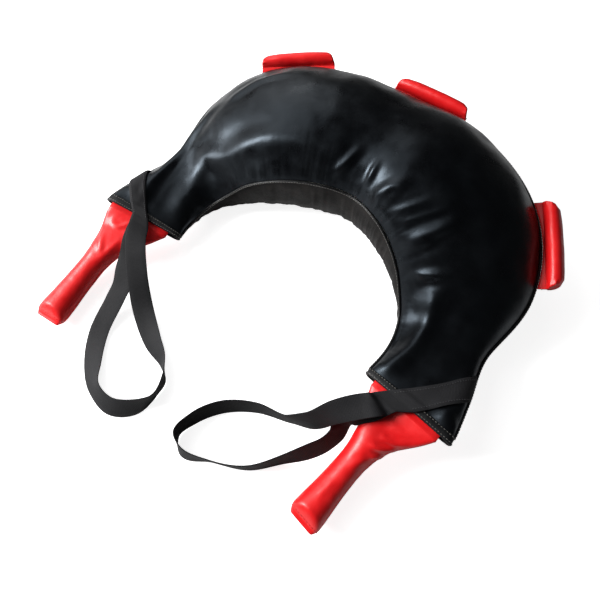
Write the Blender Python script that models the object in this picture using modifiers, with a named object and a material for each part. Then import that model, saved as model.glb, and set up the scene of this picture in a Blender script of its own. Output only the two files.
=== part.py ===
# Bulgarian bag: a crescent of sand bags wrapped in black coated leather, with a red padded handle
# and a webbing wrist strap at each horn and three red padded grips along the outer seam.
# Metres, +Z up. The origin is on the floor, under the middle of the crest. The crest points to +Y,
# and the two horns with their handles point to -Y.

import math

import bmesh
import bpy
import numpy as np
from mathutils import Vector

# Crescent body
SPINE_HALF_LENGTH = 0.435
CREST_RADIUS = 0.253
CREST_OUTER_REACH = 0.126
CREST_INNER_REACH = 0.107
CREST_HALF_THICKNESS = 0.093
FLOOR_SAG = 0.006
LEFT_MOUTH_HEIGHT = 0.053
RIGHT_MOUTH_HEIGHT = 0.064
LEFT_MOUTH_ROLL = math.radians(16)
RIGHT_MOUTH_ROLL = math.radians(8)
SEAM_RISE = math.radians(18)
BODY_ROUNDNESS_SHARE = 0.94
MOUTH_ROUNDNESS_SHARE = 0.6

# Profiles of the body, chosen by hand from horn to horn, as shares of the sizes at the crest
BEND_STATION_SHARES = (-1.0, -0.667, -0.333, 0.0, 0.333, 0.667, 1.0)
BEND_SHARES = (0.95, 1.20, 0.82, 0.95, 1.33, 1.00, 0.45)
STATION_SHARES = (
    (-1.0, -0.88, -0.74, -0.58, -0.42, -0.2, 0.0)
    + (0.2, 0.42, 0.58, 0.74, 0.88, 1.0)
)
OUTER_SHARES = (0.47, 0.39, 0.40, 0.825, 1.095, 1.06, 1.0, 1.02, 0.965, 0.775, 0.42, 0.42, 0.48)
INNER_SHARES = (0.58, 0.58, 0.60, 0.83, 0.99, 1.05, 1.0, 1.07, 1.0, 0.85, 0.65, 0.59, 0.61)
THICKNESS_SHARES = (0.22, 0.38, 0.72, 0.93, 1.03, 1.0, 1.04, 0.91, 0.68, 0.34, 0.20)
HORN_START_SHARE = 0.55

# Leather, seams and what they hold
PANEL_THICKNESS = 0.002
SEAT_GAP = 0.0004
WELT_RADIUS = 0.0022
WELT_LIFT = 0.0015
SEAM_GAP = 0.0013
HEM_WIDTH = 0.010
HEM_THICKNESS = 0.0014
HEM_GAP = 0.0006
LINER_THICKNESS = 0.0012
LAYER_GAP = 0.0010
LINER_END_SHARE = 0.80
BAG_JOINT_SHARE = 0.28
BAG_JOINT_GAP = 0.004
BAG_NECK_SHARE = 0.70
BAG_TAIL_SHARE = 0.78
NECK_SHARE = 0.25
TIE_RADIUS = 0.002
WADDING_START_SHARE = 0.82
WADDING_END_SHARE = 0.89
WADDING_DEPTH = 0.0040

# Handles, with their paths as shares of the reach from the hinge to the tip
LEFT_HANDLE_REACH = 0.179
RIGHT_HANDLE_REACH = 0.169
HINGE_OFFSET = 0.0075
FLARE_HALF_WIDTH = 0.050
FLARE_HALF_THICKNESS = 0.0046
LEFT_FLARE_SHARE = 0.46
RIGHT_FLARE_SHARE = 0.50
LEFT_TUBE_HALF_WIDTH = 0.021
RIGHT_TUBE_HALF_WIDTH = 0.0188
LEFT_TUBE_HALF_HEIGHT = 0.019
RIGHT_TUBE_HALF_HEIGHT = 0.0195
TIP_WIDTH_SHARE = 1.12
TIP_HALF_THICKNESS = 0.006
FLATNESS_SHARE = 0.45
PINCH_START_SHARE = 0.90
COVER_THICKNESS = 0.0015
ROOT_DEPTH = 0.038
ROOT_INNER_SHARE = 0.72
ROOT_THICKNESS_SHARE = 0.87
END_SEAM_DEPTH = 0.006
FLOOR_CLEARANCE = 0.0005
HANDLE_PATH_SHARES = (0.0, 0.2, 0.4, 0.65, 1.0)
LEFT_SIDESTEP_SHARES = (0.0, 0.115, 0.172, 0.212, 0.24)
RIGHT_SIDESTEP_SHARES = (0.0, -0.035, -0.048, -0.055, -0.058)
DROP_SHARES = (1.0, 0.62, 0.33, 0.10, 0.0)
FLARE_SHARES = (0.0, 0.06, 0.14, 0.22, 0.30, 1.0)
FLARE_SIZES_SHARES = (1.0, 0.80, 0.46, 0.18, 0.03, 0.0)
NOSE_SHARES = (0.98, 0.8, 0.45)
HANDLE_ROW_SHARES = (0.0, 0.05, 0.1, 0.16, 0.22, 0.3, 0.4, 0.52, 0.65, 0.78, 0.88, 0.94, 1.0)

# Wrist straps, with their routes as shares of the strap length ahead of the mouth and to its outer
# side, and of the mouth height above the floor
WEBBING_WIDTH = 0.030
WEBBING_THICKNESS = 0.0015
STRAP_LENGTH = 0.620
STRAP_ROWS = 52
STRAP_HINGE_LEAD = 0.006
STRAP_FLAT_SHARE = 0.25
ANCHOR_LENGTH = 0.0053
BAND_EDGE_SHARE = 0.08
BAND_LIFT = 0.0015
LEFT_BAND_SHARES = (0.37, 0.59)
RIGHT_BAND_SHARES = (0.41, 0.72)
LEFT_BAND_SEAM_SHARES = (0.913, 0.84)
RIGHT_BAND_SEAM_SHARES = (0.88, 0.80)
LEFT_ROUTE_SHARES = (
    (0.020, -0.012, 1.30),
    (0.055, -0.030, 1.18),
    (0.084, -0.047, 1.10),
    (0.118, -0.068, 0.88),
    (0.186, -0.119, 0.34),
    (0.237, -0.176, 0.19),
    (0.270, -0.228, 0.25),
    (0.304, -0.253, 0.30),
    (0.339, -0.253, 0.30),
    (0.378, -0.226, 0.25),
    (0.399, -0.177, 0.23),
    (0.384, -0.124, 0.20),
    (0.344, -0.085, 0.13),
    (0.274, -0.048, 0.11),
    (0.193, -0.046, 0.42),
    (0.156, -0.045, 0.58),
    (0.121, -0.033, 0.72),
    (0.090, -0.028, 0.90),
    (0.059, -0.020, 1.07),
    (0.020, -0.012, 1.20),
)
LEFT_LEANS = (196, 190, 182, 180, 180, 152, 115, 93, 98, 63, 50, 50, 24, 3, 0, 0, 0, -5, -10, -16)
RIGHT_ROUTE_SHARES = (
    (0.020, -0.013, 1.20),
    (0.042, -0.036, 1.33),
    (0.064, -0.058, 1.22),
    (0.103, -0.092, 1.05),
    (0.143, -0.122, 0.66),
    (0.170, -0.162, 0.31),
    (0.203, -0.232, 0.24),
    (0.259, -0.289, 0.23),
    (0.310, -0.311, 0.24),
    (0.355, -0.313, 0.25),
    (0.369, -0.286, 0.24),
    (0.339, -0.223, 0.25),
    (0.292, -0.157, 0.25),
    (0.236, -0.120, 0.25),
    (0.185, -0.089, 0.34),
    (0.155, -0.075, 0.40),
    (0.127, -0.068, 0.46),
    (0.097, -0.071, 0.70),
    (0.068, -0.050, 1.02),
    (0.047, -0.030, 1.05),
    (0.020, -0.013, 1.10),
)
RIGHT_LEANS = (
    (-188, -186, -168, -135, -112, -95, -104, -110, -106, -94, -77)
    + (-92, -86, -77, -61, -60, -56, -45, -14, 2, 8)
)

# Side grips
GRIP_HALF_LENGTH = 0.064
GRIP_HALF_HEIGHT = 0.018
GRIP_HALF_DEPTH = 0.012
GRIP_ROLL_REACH = 0.018
GRIP_NOSE_RADIUS = 0.002
GRIP_BOW = 0.001
GRIP_TAB_HEIGHT = 0.001
GRIP_END_DROP_SHARE = 0.18
GRIP_POINT_SHARE = 0.6
GRIP_SLANT_SHARE = 0.2
GRIP_TAB_HALF_THICKNESS = 0.002
GRIP_SIDES = 12
GRIP_ROW_SHARES = (0.0, 0.35, 0.6, 0.72, 0.84, 0.92, 1.0)
GRIP_PLACES = (("left", -0.146, 0.0015), ("middle", 0.016, 0.0), ("right", 0.202, 0.0))

# Mesh fineness
BODY_ROWS = 33
HANDLE_SIDES = 14
TOP_CELLS = 10
FINE_STEPS = 181

SIDES = (("left", -1), ("right", 1))
MOUTH_HALF_THICKNESS = PANEL_THICKNESS + SEAT_GAP + FLARE_HALF_THICKNESS

# Spine, bent more in some places than in others, worked out by small steps from the crest


def smooth(stations, values, at):
    stations = np.asarray(stations, dtype=float)
    values = np.asarray(values, dtype=float)
    slopes = np.gradient(values, stations)
    spot = np.clip(np.searchsorted(stations, at, side="right") - 1, 0, len(stations) - 2)
    width = stations[spot + 1] - stations[spot]
    u = (at - stations[spot]) / width
    start = (1 + 2 * u) * (1 - u) ** 2 * values[spot] + u * (1 - u) ** 2 * width * slopes[spot]
    end = u**2 * (3 - 2 * u) * values[spot + 1] + u**2 * (u - 1) * width * slopes[spot + 1]
    return start + end


def ease(share):
    share = np.clip(share, 0, 1)
    return share * share * (3 - 2 * share)


def unit(vector):
    vector = np.asarray(vector, dtype=float)
    return vector / np.linalg.norm(vector, axis=-1, keepdims=True)


def running_total(rates):
    step = SPINE_HALF_LENGTH * (FINE_SHARES[1] - FINE_SHARES[0])
    total = np.concatenate([[0], np.cumsum((rates[1:] + rates[:-1]) / 2 * step)])
    return total - total[FINE_STEPS // 2]


FINE_SHARES = np.linspace(-1, 1, FINE_STEPS)
TURN = running_total(smooth(BEND_STATION_SHARES, BEND_SHARES, FINE_SHARES) / CREST_RADIUS)
SPINE_X = running_total(np.cos(TURN))
SPINE_Y = running_total(-np.sin(TURN))
MOUTH_SHARE = MOUTH_HALF_THICKNESS / CREST_HALF_THICKNESS
FULL_THICKNESS_SHARES = (MOUTH_SHARE,) + THICKNESS_SHARES + (MOUTH_SHARE,)


# Skin of the body: each station is a rounded section, and each angle a place round it


def seam_angle(s):
    return SEAM_RISE * (1 - ease((np.abs(s) - HORN_START_SHARE) / (1 - HORN_START_SHARE)))


def horn_blend(s):
    return ease((np.abs(s) - HORN_START_SHARE) / (1 - HORN_START_SHARE))


def mouth_roll(s):
    return np.where(s < 0, LEFT_MOUTH_ROLL, RIGHT_MOUTH_ROLL) * horn_blend(s)


def skin(s, angle):
    s, angle = np.broadcast_arrays(np.asarray(s, dtype=float), angle)
    turn = np.interp(s, FINE_SHARES, TURN)
    outer = CREST_OUTER_REACH * smooth(STATION_SHARES, OUTER_SHARES, s)
    inner = CREST_INNER_REACH * smooth(STATION_SHARES, INNER_SHARES, s)
    half = CREST_HALF_THICKNESS * smooth(STATION_SHARES, FULL_THICKNESS_SHARES, s)
    horn = horn_blend(s)
    mouth_height = np.where(s < 0, LEFT_MOUTH_HEIGHT, RIGHT_MOUTH_HEIGHT)
    middle = (half - FLOOR_SAG) * (1 - horn) + mouth_height * horn
    power = BODY_ROUNDNESS_SHARE + (MOUTH_ROUNDNESS_SHARE - BODY_ROUNDNESS_SHARE) * horn
    cosine = np.cos(angle)
    sine = np.sin(angle)
    across = np.sign(cosine) * np.abs(cosine) ** power * np.where(cosine > 0, outer, inner)
    rise = np.sign(sine) * np.abs(sine) ** power * half
    x = np.interp(s, FINE_SHARES, SPINE_X) + np.sin(turn) * across
    y = np.interp(s, FINE_SHARES, SPINE_Y) + np.cos(turn) * across
    z = np.maximum(middle + rise + across * np.sin(mouth_roll(s)), 0)
    return np.stack([x, y, z], -1)


def strip(s, first, last):
    # One row of a panel, evenly spaced between the two seams and clear of their welts
    dense = skin(s, np.linspace(first, last, FINE_STEPS))
    steps = np.linalg.norm(np.diff(dense, axis=0), axis=1)
    reach = np.concatenate([[0], np.cumsum(steps)])
    edge = WELT_RADIUS + SEAM_GAP
    places = np.linspace(edge, reach[-1] - edge, TOP_CELLS + 1)
    return np.stack([np.interp(places, reach, dense[:, k]) for k in range(3)], -1)


HEM_SHARE = 1 - HEM_WIDTH / SPINE_HALF_LENGTH
ROWS = np.concatenate([[-1], np.linspace(-HEM_SHARE, HEM_SHARE, BODY_ROWS), [1]])
TOP = np.array([strip(s, math.pi - seam_angle(s), seam_angle(s)) for s in ROWS])
BOTTOM = np.array([strip(s, seam_angle(s), -math.pi - seam_angle(s)) for s in ROWS])
RING = np.concatenate([TOP, BOTTOM], axis=1)
AROUND = np.roll(RING, -1, axis=1) - np.roll(RING, 1, axis=1)
RING_NORMALS = unit(np.cross(np.gradient(RING, axis=0), AROUND))
COLUMNS = TOP_CELLS + 1


def at_station(grid, s):
    # A row between two rows of a grid, on the flat facets that join them
    row = int(np.clip(np.searchsorted(ROWS, s, side="right") - 1, 0, len(ROWS) - 2))
    share = (s - ROWS[row]) / (ROWS[row + 1] - ROWS[row])
    return grid[row] * (1 - share) + grid[row + 1] * share


def layer(s, depth):
    return at_station(RING, s) - at_station(RING_NORMALS, s) * depth


def stations_between(first, last):
    inside = [s for s in ROWS if first + 1 / BODY_ROWS / 2 < s < last - 1 / BODY_ROWS / 2]
    return [first] + inside + [last]


# Mesh makers


def new_material(name, colour, roughness):
    made = bpy.data.materials.new(name)
    made.use_nodes = True
    shader = made.node_tree.nodes["Principled BSDF"]
    shader.inputs["Base Color"].default_value = (*colour, 1)
    shader.inputs["Roughness"].default_value = roughness
    return made


def split_faces(points, faces):
    # Each four-sided face is split along its shorter diagonal, so nested skins fold alike
    split = []
    for face in faces:
        if len(face) != 4:
            split.append(face)
            continue
        a, b, c, d = face
        if np.linalg.norm(points[a] - points[c]) <= np.linalg.norm(points[b] - points[d]):
            split += [(a, b, c), (a, c, d)]
        else:
            split += [(b, c, d), (b, d, a)]
    return split


def add_node(name, points, faces, look, origin=(0, 0, 0)):
    points = np.asarray(points, dtype=float).reshape(-1, 3) - np.asarray(origin, dtype=float)
    faces = split_faces(points, faces)
    mesh = bpy.data.meshes.new(name)
    mesh.from_pydata([tuple(point) for point in points], [], faces)
    mesh.validate()
    made = bpy.data.objects.new(name, mesh)
    made.location = Vector(origin)
    collection.objects.link(made)
    suffix, colour, roughness = look
    mesh.materials.append(new_material(name + "_" + suffix, colour, roughness))
    work = bmesh.new()
    work.from_mesh(mesh)
    bmesh.ops.recalc_face_normals(work, faces=work.faces)
    work.to_mesh(mesh)
    work.free()
    return made


def ring_faces(rows, columns, joined_rows=False):
    faces = []
    for i in range(rows if joined_rows else rows - 1):
        for j in range(columns):
            a = i * columns
            b = (i + 1) % rows * columns
            faces.append((a + j, a + (j + 1) % columns, b + (j + 1) % columns, b + j))
    return faces


def add_loft(name, rows, look, origin=(0, 0, 0)):
    rows = np.asarray(rows)
    count, columns = rows.shape[:2]
    faces = ring_faces(count, columns)
    faces.append(tuple(range(columns - 1, -1, -1)))
    faces.append(tuple((count - 1) * columns + j for j in range(columns)))
    return add_node(name, rows, faces, look, origin)


def add_sleeve(name, outside, inside, look, origin=(0, 0, 0)):
    # A tube that is open at both ends, with a wall between its two skins
    rows = np.concatenate([outside, np.asarray(inside)[::-1]])
    return add_node(name, rows, ring_faces(rows.shape[0], rows.shape[1], True), look, origin)


def add_shell(name, grid, thickness, look):
    count, columns = grid.shape[:2]
    faces = []
    for i in range(count - 1):
        for j in range(columns - 1):
            a = i * columns + j
            faces.append((a, a + 1, a + columns + 1, a + columns))
    made = add_node(name, grid, faces, look)
    work = bmesh.new()
    work.from_mesh(made.data)
    work.faces.ensure_lookup_table()
    row = len(ROWS) // 2
    middle = work.faces[(row * TOP_CELLS + TOP_CELLS // 2) * 2]
    outward = grid[row].mean(axis=0) - RING[row].mean(axis=0)
    if middle.normal.dot(Vector(outward)) < 0:
        bmesh.ops.reverse_faces(work, faces=work.faces)
    work.to_mesh(made.data)
    work.free()
    wall = made.modifiers.new("Wall", "SOLIDIFY")
    wall.thickness = thickness
    wall.offset = -1
    return made


def add_cord(name, points, radius, look, joined=False):
    curve = bpy.data.curves.new(name + "_path", "CURVE")
    curve.dimensions = "3D"
    curve.bevel_depth = radius
    curve.bevel_resolution = 1
    curve.use_fill_caps = True
    line = curve.splines.new("POLY")
    line.points.add(len(points) - 1)
    for spot, point in zip(line.points, points):
        spot.co = (*point, 1)
    line.use_cyclic_u = joined
    path = bpy.data.objects.new(name + "_path", curve)
    collection.objects.link(path)
    graph = bpy.context.evaluated_depsgraph_get()
    swept = bpy.data.meshes.new_from_object(path.evaluated_get(graph))
    points = [tuple(vertex.co) for vertex in swept.vertices]
    faces = [tuple(face.vertices) for face in swept.polygons]
    bpy.data.objects.remove(path, do_unlink=True)
    return add_node(name, points, faces, look)


def section(centre, side, up, half_width, half_height, power, count=HANDLE_SIDES):
    angles = np.arange(count) / count * 2 * math.pi + math.pi / count
    cosine = np.cos(angles)
    sine = np.sin(angles)
    across = np.sign(cosine) * np.abs(cosine) ** power * half_width
    rise = np.sign(sine) * np.abs(sine) ** power * half_height
    return centre + across[:, None] * side + rise[:, None] * up


# Looks: a name for the stuff, its colour and its roughness

BLACK_GLOSS = ("coated_leather", (0.012, 0.012, 0.014), 0.32)
BLACK_MATT = ("grained_leather", (0.02, 0.018, 0.017), 0.6)
WELT_LOOK = ("piping", (0.03, 0.03, 0.032), 0.5)
RED_GLOSS = ("red_leather", (0.62, 0.02, 0.02), 0.35)
WEB_LOOK = ("webbing", (0.022, 0.022, 0.024), 0.85)
LINER_LOOK = ("liner_cloth", (0.35, 0.35, 0.33), 0.8)
SAND_LOOK = ("sand_bag_cloth", (0.42, 0.32, 0.2), 0.9)
CORD_LOOK = ("cord", (0.6, 0.58, 0.5), 0.8)
PAD_LOOK = ("padding", (0.5, 0.5, 0.48), 0.95)


def build_body():
    add_shell("top_panel", TOP, PANEL_THICKNESS, BLACK_GLOSS)
    add_shell("bottom_panel", BOTTOM, PANEL_THICKNESS, BLACK_MATT)
    welt_end = 1 - (HEM_WIDTH + LAYER_GAP) / SPINE_HALF_LENGTH
    welt_rows = stations_between(-welt_end, welt_end)
    for name, first, last in (
        ("outer_welt", COLUMNS - 1, COLUMNS),
        ("inner_welt", 2 * COLUMNS - 1, 0),
    ):
        line = []
        for s in welt_rows:
            edges = at_station(RING, s)
            normals = at_station(RING_NORMALS, s)
            proud = unit(normals[first] + normals[last]) * WELT_LIFT
            line.append((edges[first] + edges[last]) / 2 + proud)
        add_cord(name, line, WELT_RADIUS, WELT_LOOK)
    liner_outside = PANEL_THICKNESS + LAYER_GAP
    liner_inside = liner_outside + LINER_THICKNESS
    liner_rows = stations_between(-LINER_END_SHARE, LINER_END_SHARE)
    add_sleeve(
        "inner_liner",
        [layer(s, liner_outside) for s in liner_rows],
        [layer(s, liner_inside) for s in liner_rows],
        LINER_LOOK,
    )
    bag_depth = liner_inside + LAYER_GAP
    add_loft(
        "sand_bag_center",
        [layer(s, bag_depth) for s in stations_between(-BAG_JOINT_SHARE, BAG_JOINT_SHARE)],
        SAND_LOOK,
    )
    for side_name, side in SIDES:
        build_end_bag(side_name, side, bag_depth)
        hem_in = side * HEM_SHARE
        add_sleeve(
            side_name + "_mouth_hem",
            [layer(s, -HEM_GAP - HEM_THICKNESS) for s in (side, hem_in)],
            [layer(s, -HEM_GAP) for s in (side, hem_in)],
            BLACK_GLOSS,
        )
        ends = sorted((side * WADDING_START_SHARE, side * WADDING_END_SHARE))
        add_loft(
            "horn_wadding_" + side_name,
            [layer(s, WADDING_DEPTH) for s in stations_between(*ends)],
            PAD_LOOK,
        )


def build_end_bag(side_name, side, depth):
    # A tapering bag whose neck is drawn in and tied, with a short tail past the tie
    joint = BAG_JOINT_SHARE + BAG_JOINT_GAP / SPINE_HALF_LENGTH
    body_rows = [side * s for s in stations_between(joint, BAG_NECK_SHARE)]
    rows = [layer(s, depth) for s in body_rows]
    shoulder = layer(side * BAG_NECK_SHARE, depth)
    tail = layer(side * BAG_TAIL_SHARE, depth)
    for share, size in ((0.2, 0.75), (0.4, 0.4), (0.55, NECK_SHARE), (0.75, NECK_SHARE), (1, 0.42)):
        row = shoulder * (1 - share) + tail * share
        middle = row.mean(axis=0)
        rows.append(middle + (row - middle) * size)
    add_loft("sand_bag_" + side_name, rows, SAND_LOOK)
    neck = shoulder * 0.35 + tail * 0.65
    middle = neck.mean(axis=0)
    rim = (neck - middle) * NECK_SHARE
    rim = rim + unit(rim) * (TIE_RADIUS + LAYER_GAP) * 1.2
    add_cord("sand_bag_" + side_name + "_tie", middle + rim[::2], TIE_RADIUS, CORD_LOOK, True)


# Handles


def mouth_frame(side):
    turn = TURN[0] if side < 0 else TURN[-1]
    away = side * np.array([math.cos(turn), -math.sin(turn), 0])
    roll = LEFT_MOUTH_ROLL if side < 0 else RIGHT_MOUTH_ROLL
    outward = unit([math.sin(turn), math.cos(turn), math.sin(roll)])
    up = unit(np.cross(away, outward))
    up = up if up[2] > 0 else -up
    corner_out = skin(side, 0)
    corner_in = skin(side, math.pi)
    share = LEFT_FLARE_SHARE if side < 0 else RIGHT_FLARE_SHARE
    middle = corner_out * (1 - share) + corner_in * share
    return middle, away, outward, up


def handle_rows(side, inset=0):
    middle, away, outward, up = mouth_frame(side)
    hinge = middle + away * HINGE_OFFSET
    level = unit([outward[0], outward[1], 0])
    half_width = LEFT_TUBE_HALF_WIDTH if side < 0 else RIGHT_TUBE_HALF_WIDTH
    half_height = LEFT_TUBE_HALF_HEIGHT if side < 0 else RIGHT_TUBE_HALF_HEIGHT
    sidestep = LEFT_SIDESTEP_SHARES if side < 0 else RIGHT_SIDESTEP_SHARES
    rest = half_height + FLOOR_CLEARANCE
    shares = np.array(HANDLE_ROW_SHARES)
    reach = LEFT_HANDLE_REACH if side < 0 else RIGHT_HANDLE_REACH
    ahead = shares * reach
    sideways = smooth(HANDLE_PATH_SHARES, sidestep, shares) * reach
    lift = smooth(HANDLE_PATH_SHARES, DROP_SHARES, shares)
    line = hinge + ahead[:, None] * away + sideways[:, None] * level
    line[:, 2] = rest + (hinge[2] - rest) * lift
    heading = unit(np.gradient(line, axis=0))
    heading[0] = away
    widths = half_width + (FLARE_HALF_WIDTH - half_width) * smooth(FLARE_SHARES, FLARE_SIZES_SHARES, shares)
    heights = FLARE_HALF_THICKNESS + (half_height - FLARE_HALF_THICKNESS) * ease(shares / FLARE_SHARES[-2])
    pinch = ease((shares - PINCH_START_SHARE) / (1 - PINCH_START_SHARE))
    widths = widths * (1 + (TIP_WIDTH_SHARE - 1) * pinch)
    heights = heights + (TIP_HALF_THICKNESS - heights) * pinch
    flat = np.maximum(1 - ease(shares / FLARE_SHARES[-2]), pinch)
    powers = 1 - FLATNESS_SHARE * flat
    rows = []
    for k in range(len(shares)):
        level_share = ease(shares[k] / FLARE_SHARES[-2])
        ahead_way = unit(away * (1 - level_share) + heading[k] * level_share)
        across = unit(outward * (1 - level_share) + level * level_share)
        across = unit(across - ahead_way * np.dot(across, ahead_way))
        rise = unit(np.cross(ahead_way, across))
        rise = rise if rise[2] > 0 else -rise
        rows.append(section(line[k], across, rise, widths[k] - inset, heights[k] - inset, powers[k]))
    nose = []
    for share in NOSE_SHARES:
        radius = FLARE_HALF_THICKNESS - inset
        centre = hinge - away * radius * share
        rise = radius * math.sqrt(1 - share * share)
        nose.append(section(centre, outward, up, FLARE_HALF_WIDTH - inset, rise, powers[0]))
    return nose, rows, hinge


def between_rows(rows, share):
    return np.array([
        [np.interp(share, HANDLE_ROW_SHARES, [row[j][k] for row in rows]) for k in range(3)]
        for j in range(len(rows[0]))
    ])


def build_handle(side_name, side):
    nose, rows, hinge = handle_rows(side)
    inner_nose, inner, hinge = handle_rows(side, COVER_THICKNESS)
    cover = nose + rows + inner[::-1]
    add_loft(side_name + "_handle_cover", cover, RED_GLOSS, hinge)
    core_nose, core, hinge = handle_rows(side, COVER_THICKNESS + LAYER_GAP)
    reach = LEFT_HANDLE_REACH if side < 0 else RIGHT_HANDLE_REACH
    seam_share = 1 - END_SEAM_DEPTH / reach
    core_end = seam_share - SEAT_GAP / reach
    kept = [row for row, share in zip(core, HANDLE_ROW_SHARES) if 0 < share < core_end]
    kept.append(between_rows(core, core_end))
    add_loft(side_name + "_handle_core", kept, PAD_LOOK, hinge)
    plug = [between_rows(core, share) for share in (seam_share, 1)]
    add_loft(side_name + "_handle_end", plug, RED_GLOSS, hinge)
    middle, away, outward, up = mouth_frame(side)
    slab = []
    slab_end = HINGE_OFFSET - FLARE_HALF_THICKNESS - SEAT_GAP
    for ahead, size in ((-ROOT_DEPTH, ROOT_INNER_SHARE), (-ROOT_DEPTH / 2, 0.9), (0, 1), (slab_end, 1)):
        slab.append(
            section(
                middle + away * ahead,
                outward,
                up,
                FLARE_HALF_WIDTH * size,
                FLARE_HALF_THICKNESS * ROOT_THICKNESS_SHARE,
                1 - FLATNESS_SHARE,
            )
        )
    add_loft(side_name + "_handle_root", slab, RED_GLOSS)


# Wrist straps


def band_point(side, s, share, lift):
    # A place on the top panel, at a share of the way from its outer to its inner seam
    rows = at_station(TOP, s)
    normals = at_station(RING_NORMALS, s)[:COLUMNS]
    place = (1 - share) * TOP_CELLS
    column = int(np.clip(math.floor(place), 0, TOP_CELLS - 1))
    part = place - column
    spot = rows[column] * (1 - part) + rows[column + 1] * part
    normal = unit(normals[column] * (1 - part) + normals[column + 1] * part)
    return spot + normal * lift


def build_band(side_name, side):
    first, last = LEFT_BAND_SHARES if side < 0 else RIGHT_BAND_SHARES
    near, far = LEFT_BAND_SEAM_SHARES if side < 0 else RIGHT_BAND_SEAM_SHARES
    over_hem = HEM_THICKNESS + HEM_GAP + LAYER_GAP
    thickness = WEBBING_THICKNESS * 2 + SEAT_GAP
    rows = []
    for step in np.linspace(0, 1, 10):
        lower = []
        upper = []
        for part in np.linspace(0, 1, 6):
            s = (1 - step) + step * (near + (far - near) * part)
            share = (1 - step) * (first + (last - first) * part) + step * BAND_EDGE_SHARE
            along = (1 - s) * SPINE_HALF_LENGTH
            drop = ease((along - HEM_WIDTH) / HEM_WIDTH)
            lift = over_hem + (BAND_LIFT - over_hem) * drop
            lower.append(band_point(side, side * s, share, lift))
            upper.append(band_point(side, side * s, share, lift + thickness))
        rows.append(lower + upper[::-1])
    add_loft(side_name + "_strap_band", rows, WEB_LOOK)


def strap_path(side):
    middle, away, outward, up = mouth_frame(side)
    level = unit([outward[0], outward[1], 0])
    height = LEFT_MOUTH_HEIGHT if side < 0 else RIGHT_MOUTH_HEIGHT
    route = LEFT_ROUTE_SHARES if side < 0 else RIGHT_ROUTE_SHARES
    leans = LEFT_LEANS if side < 0 else RIGHT_LEANS
    step = route[0][1] * STRAP_LENGTH
    rise = MOUTH_HALF_THICKNESS + HEM_THICKNESS + SEAT_GAP * 2 + WEBBING_THICKNESS + SEAT_GAP / 2
    hinge = middle + away * (HINGE_OFFSET + STRAP_HINGE_LEAD) + outward * step + up * rise
    half_stack = (WEBBING_THICKNESS + LAYER_GAP) / 2
    knots = []
    for ahead, sideways, lift, lean in [(*row, lean) for row, lean in zip(route, leans)]:
        spot = middle + away * ahead * STRAP_LENGTH + level * sideways * STRAP_LENGTH
        knots.append([spot[0], spot[1], height * lift, lean])
    ends = []
    for sign, lean in ((1, leans[0]), (-1, leans[-1])):
        ends.append([*(hinge + up * half_stack * sign), lean])
        ends.append([*(hinge + up * half_stack * sign + away * WEBBING_WIDTH * STRAP_FLAT_SHARE), lean])
    knots = np.array([ends[0], ends[1]] + knots[1:-1] + [ends[3], ends[2]])
    gaps = np.linalg.norm(np.diff(knots[:, :3], axis=0), axis=1)
    reach = np.concatenate([[0], np.cumsum(gaps)])
    places = np.linspace(0, reach[-1], STRAP_ROWS)
    places = np.sort(np.concatenate([places, [reach[1], reach[-2]]]))
    path = np.stack([smooth(reach, knots[:, k], places) for k in range(4)], -1)
    lean = np.radians(path[:, 3])
    half_rise = np.abs(np.sin(lean)) * WEBBING_WIDTH / 2 + np.abs(np.cos(lean)) * WEBBING_THICKNESS / 2
    path[:, 2] = np.maximum(path[:, 2], half_rise + FLOOR_CLEARANCE)
    return path, hinge, outward, places[-1]


def build_strap(side_name, side):
    path, hinge, outward, length = strap_path(side)
    line = path[:, :3]
    lean = np.radians(path[:, 3])
    heading = unit(np.gradient(line, axis=0))
    level = unit(np.stack([heading[:, 1], -heading[:, 0], heading[:, 0] * 0], -1))
    across = level * np.cos(lean)[:, None] + np.array([0, 0, 1]) * np.sin(lean)[:, None]
    for k in (0, 1, -2, -1):
        across[k] = outward * np.sign(np.dot(across[k], outward))
    across = unit(across - heading * np.sum(across * heading, axis=1)[:, None])
    face = unit(np.cross(heading, across))
    rows = []
    for centre, side_way, up_way in zip(line, across, face):
        w = side_way * WEBBING_WIDTH / 2
        t = up_way * WEBBING_THICKNESS / 2
        rows.append([centre - w - t, centre + w - t, centre + w + t, centre - w + t])
    add_loft(side_name + "_strap_loop", rows, WEB_LOOK, hinge)
    # A stitched stack of webbing on the handle's root, which the loop hangs from
    middle, away, outward, up = mouth_frame(side)
    handle_hinge = middle + away * HINGE_OFFSET
    step = outward * np.dot(hinge - handle_hinge, outward)
    low = FLARE_HALF_THICKNESS + SEAT_GAP
    high = np.dot(hinge - handle_hinge, up) - WEBBING_THICKNESS - LAYER_GAP / 2 - SEAT_GAP
    stack = []
    for ahead in (0, ANCHOR_LENGTH):
        centre = handle_hinge + step + away * ahead
        w = outward * WEBBING_WIDTH / 2
        stack.append([centre - w + up * low, centre + w + up * low, centre + w + up * high, centre - w + up * high])
    add_loft(side_name + "_strap_anchor", stack, WEB_LOOK, handle_hinge)
    print(side_name, "strap length", round(length, 4))


# Side grips


def seam_point(s):
    return skin(s, seam_angle(s))


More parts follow.
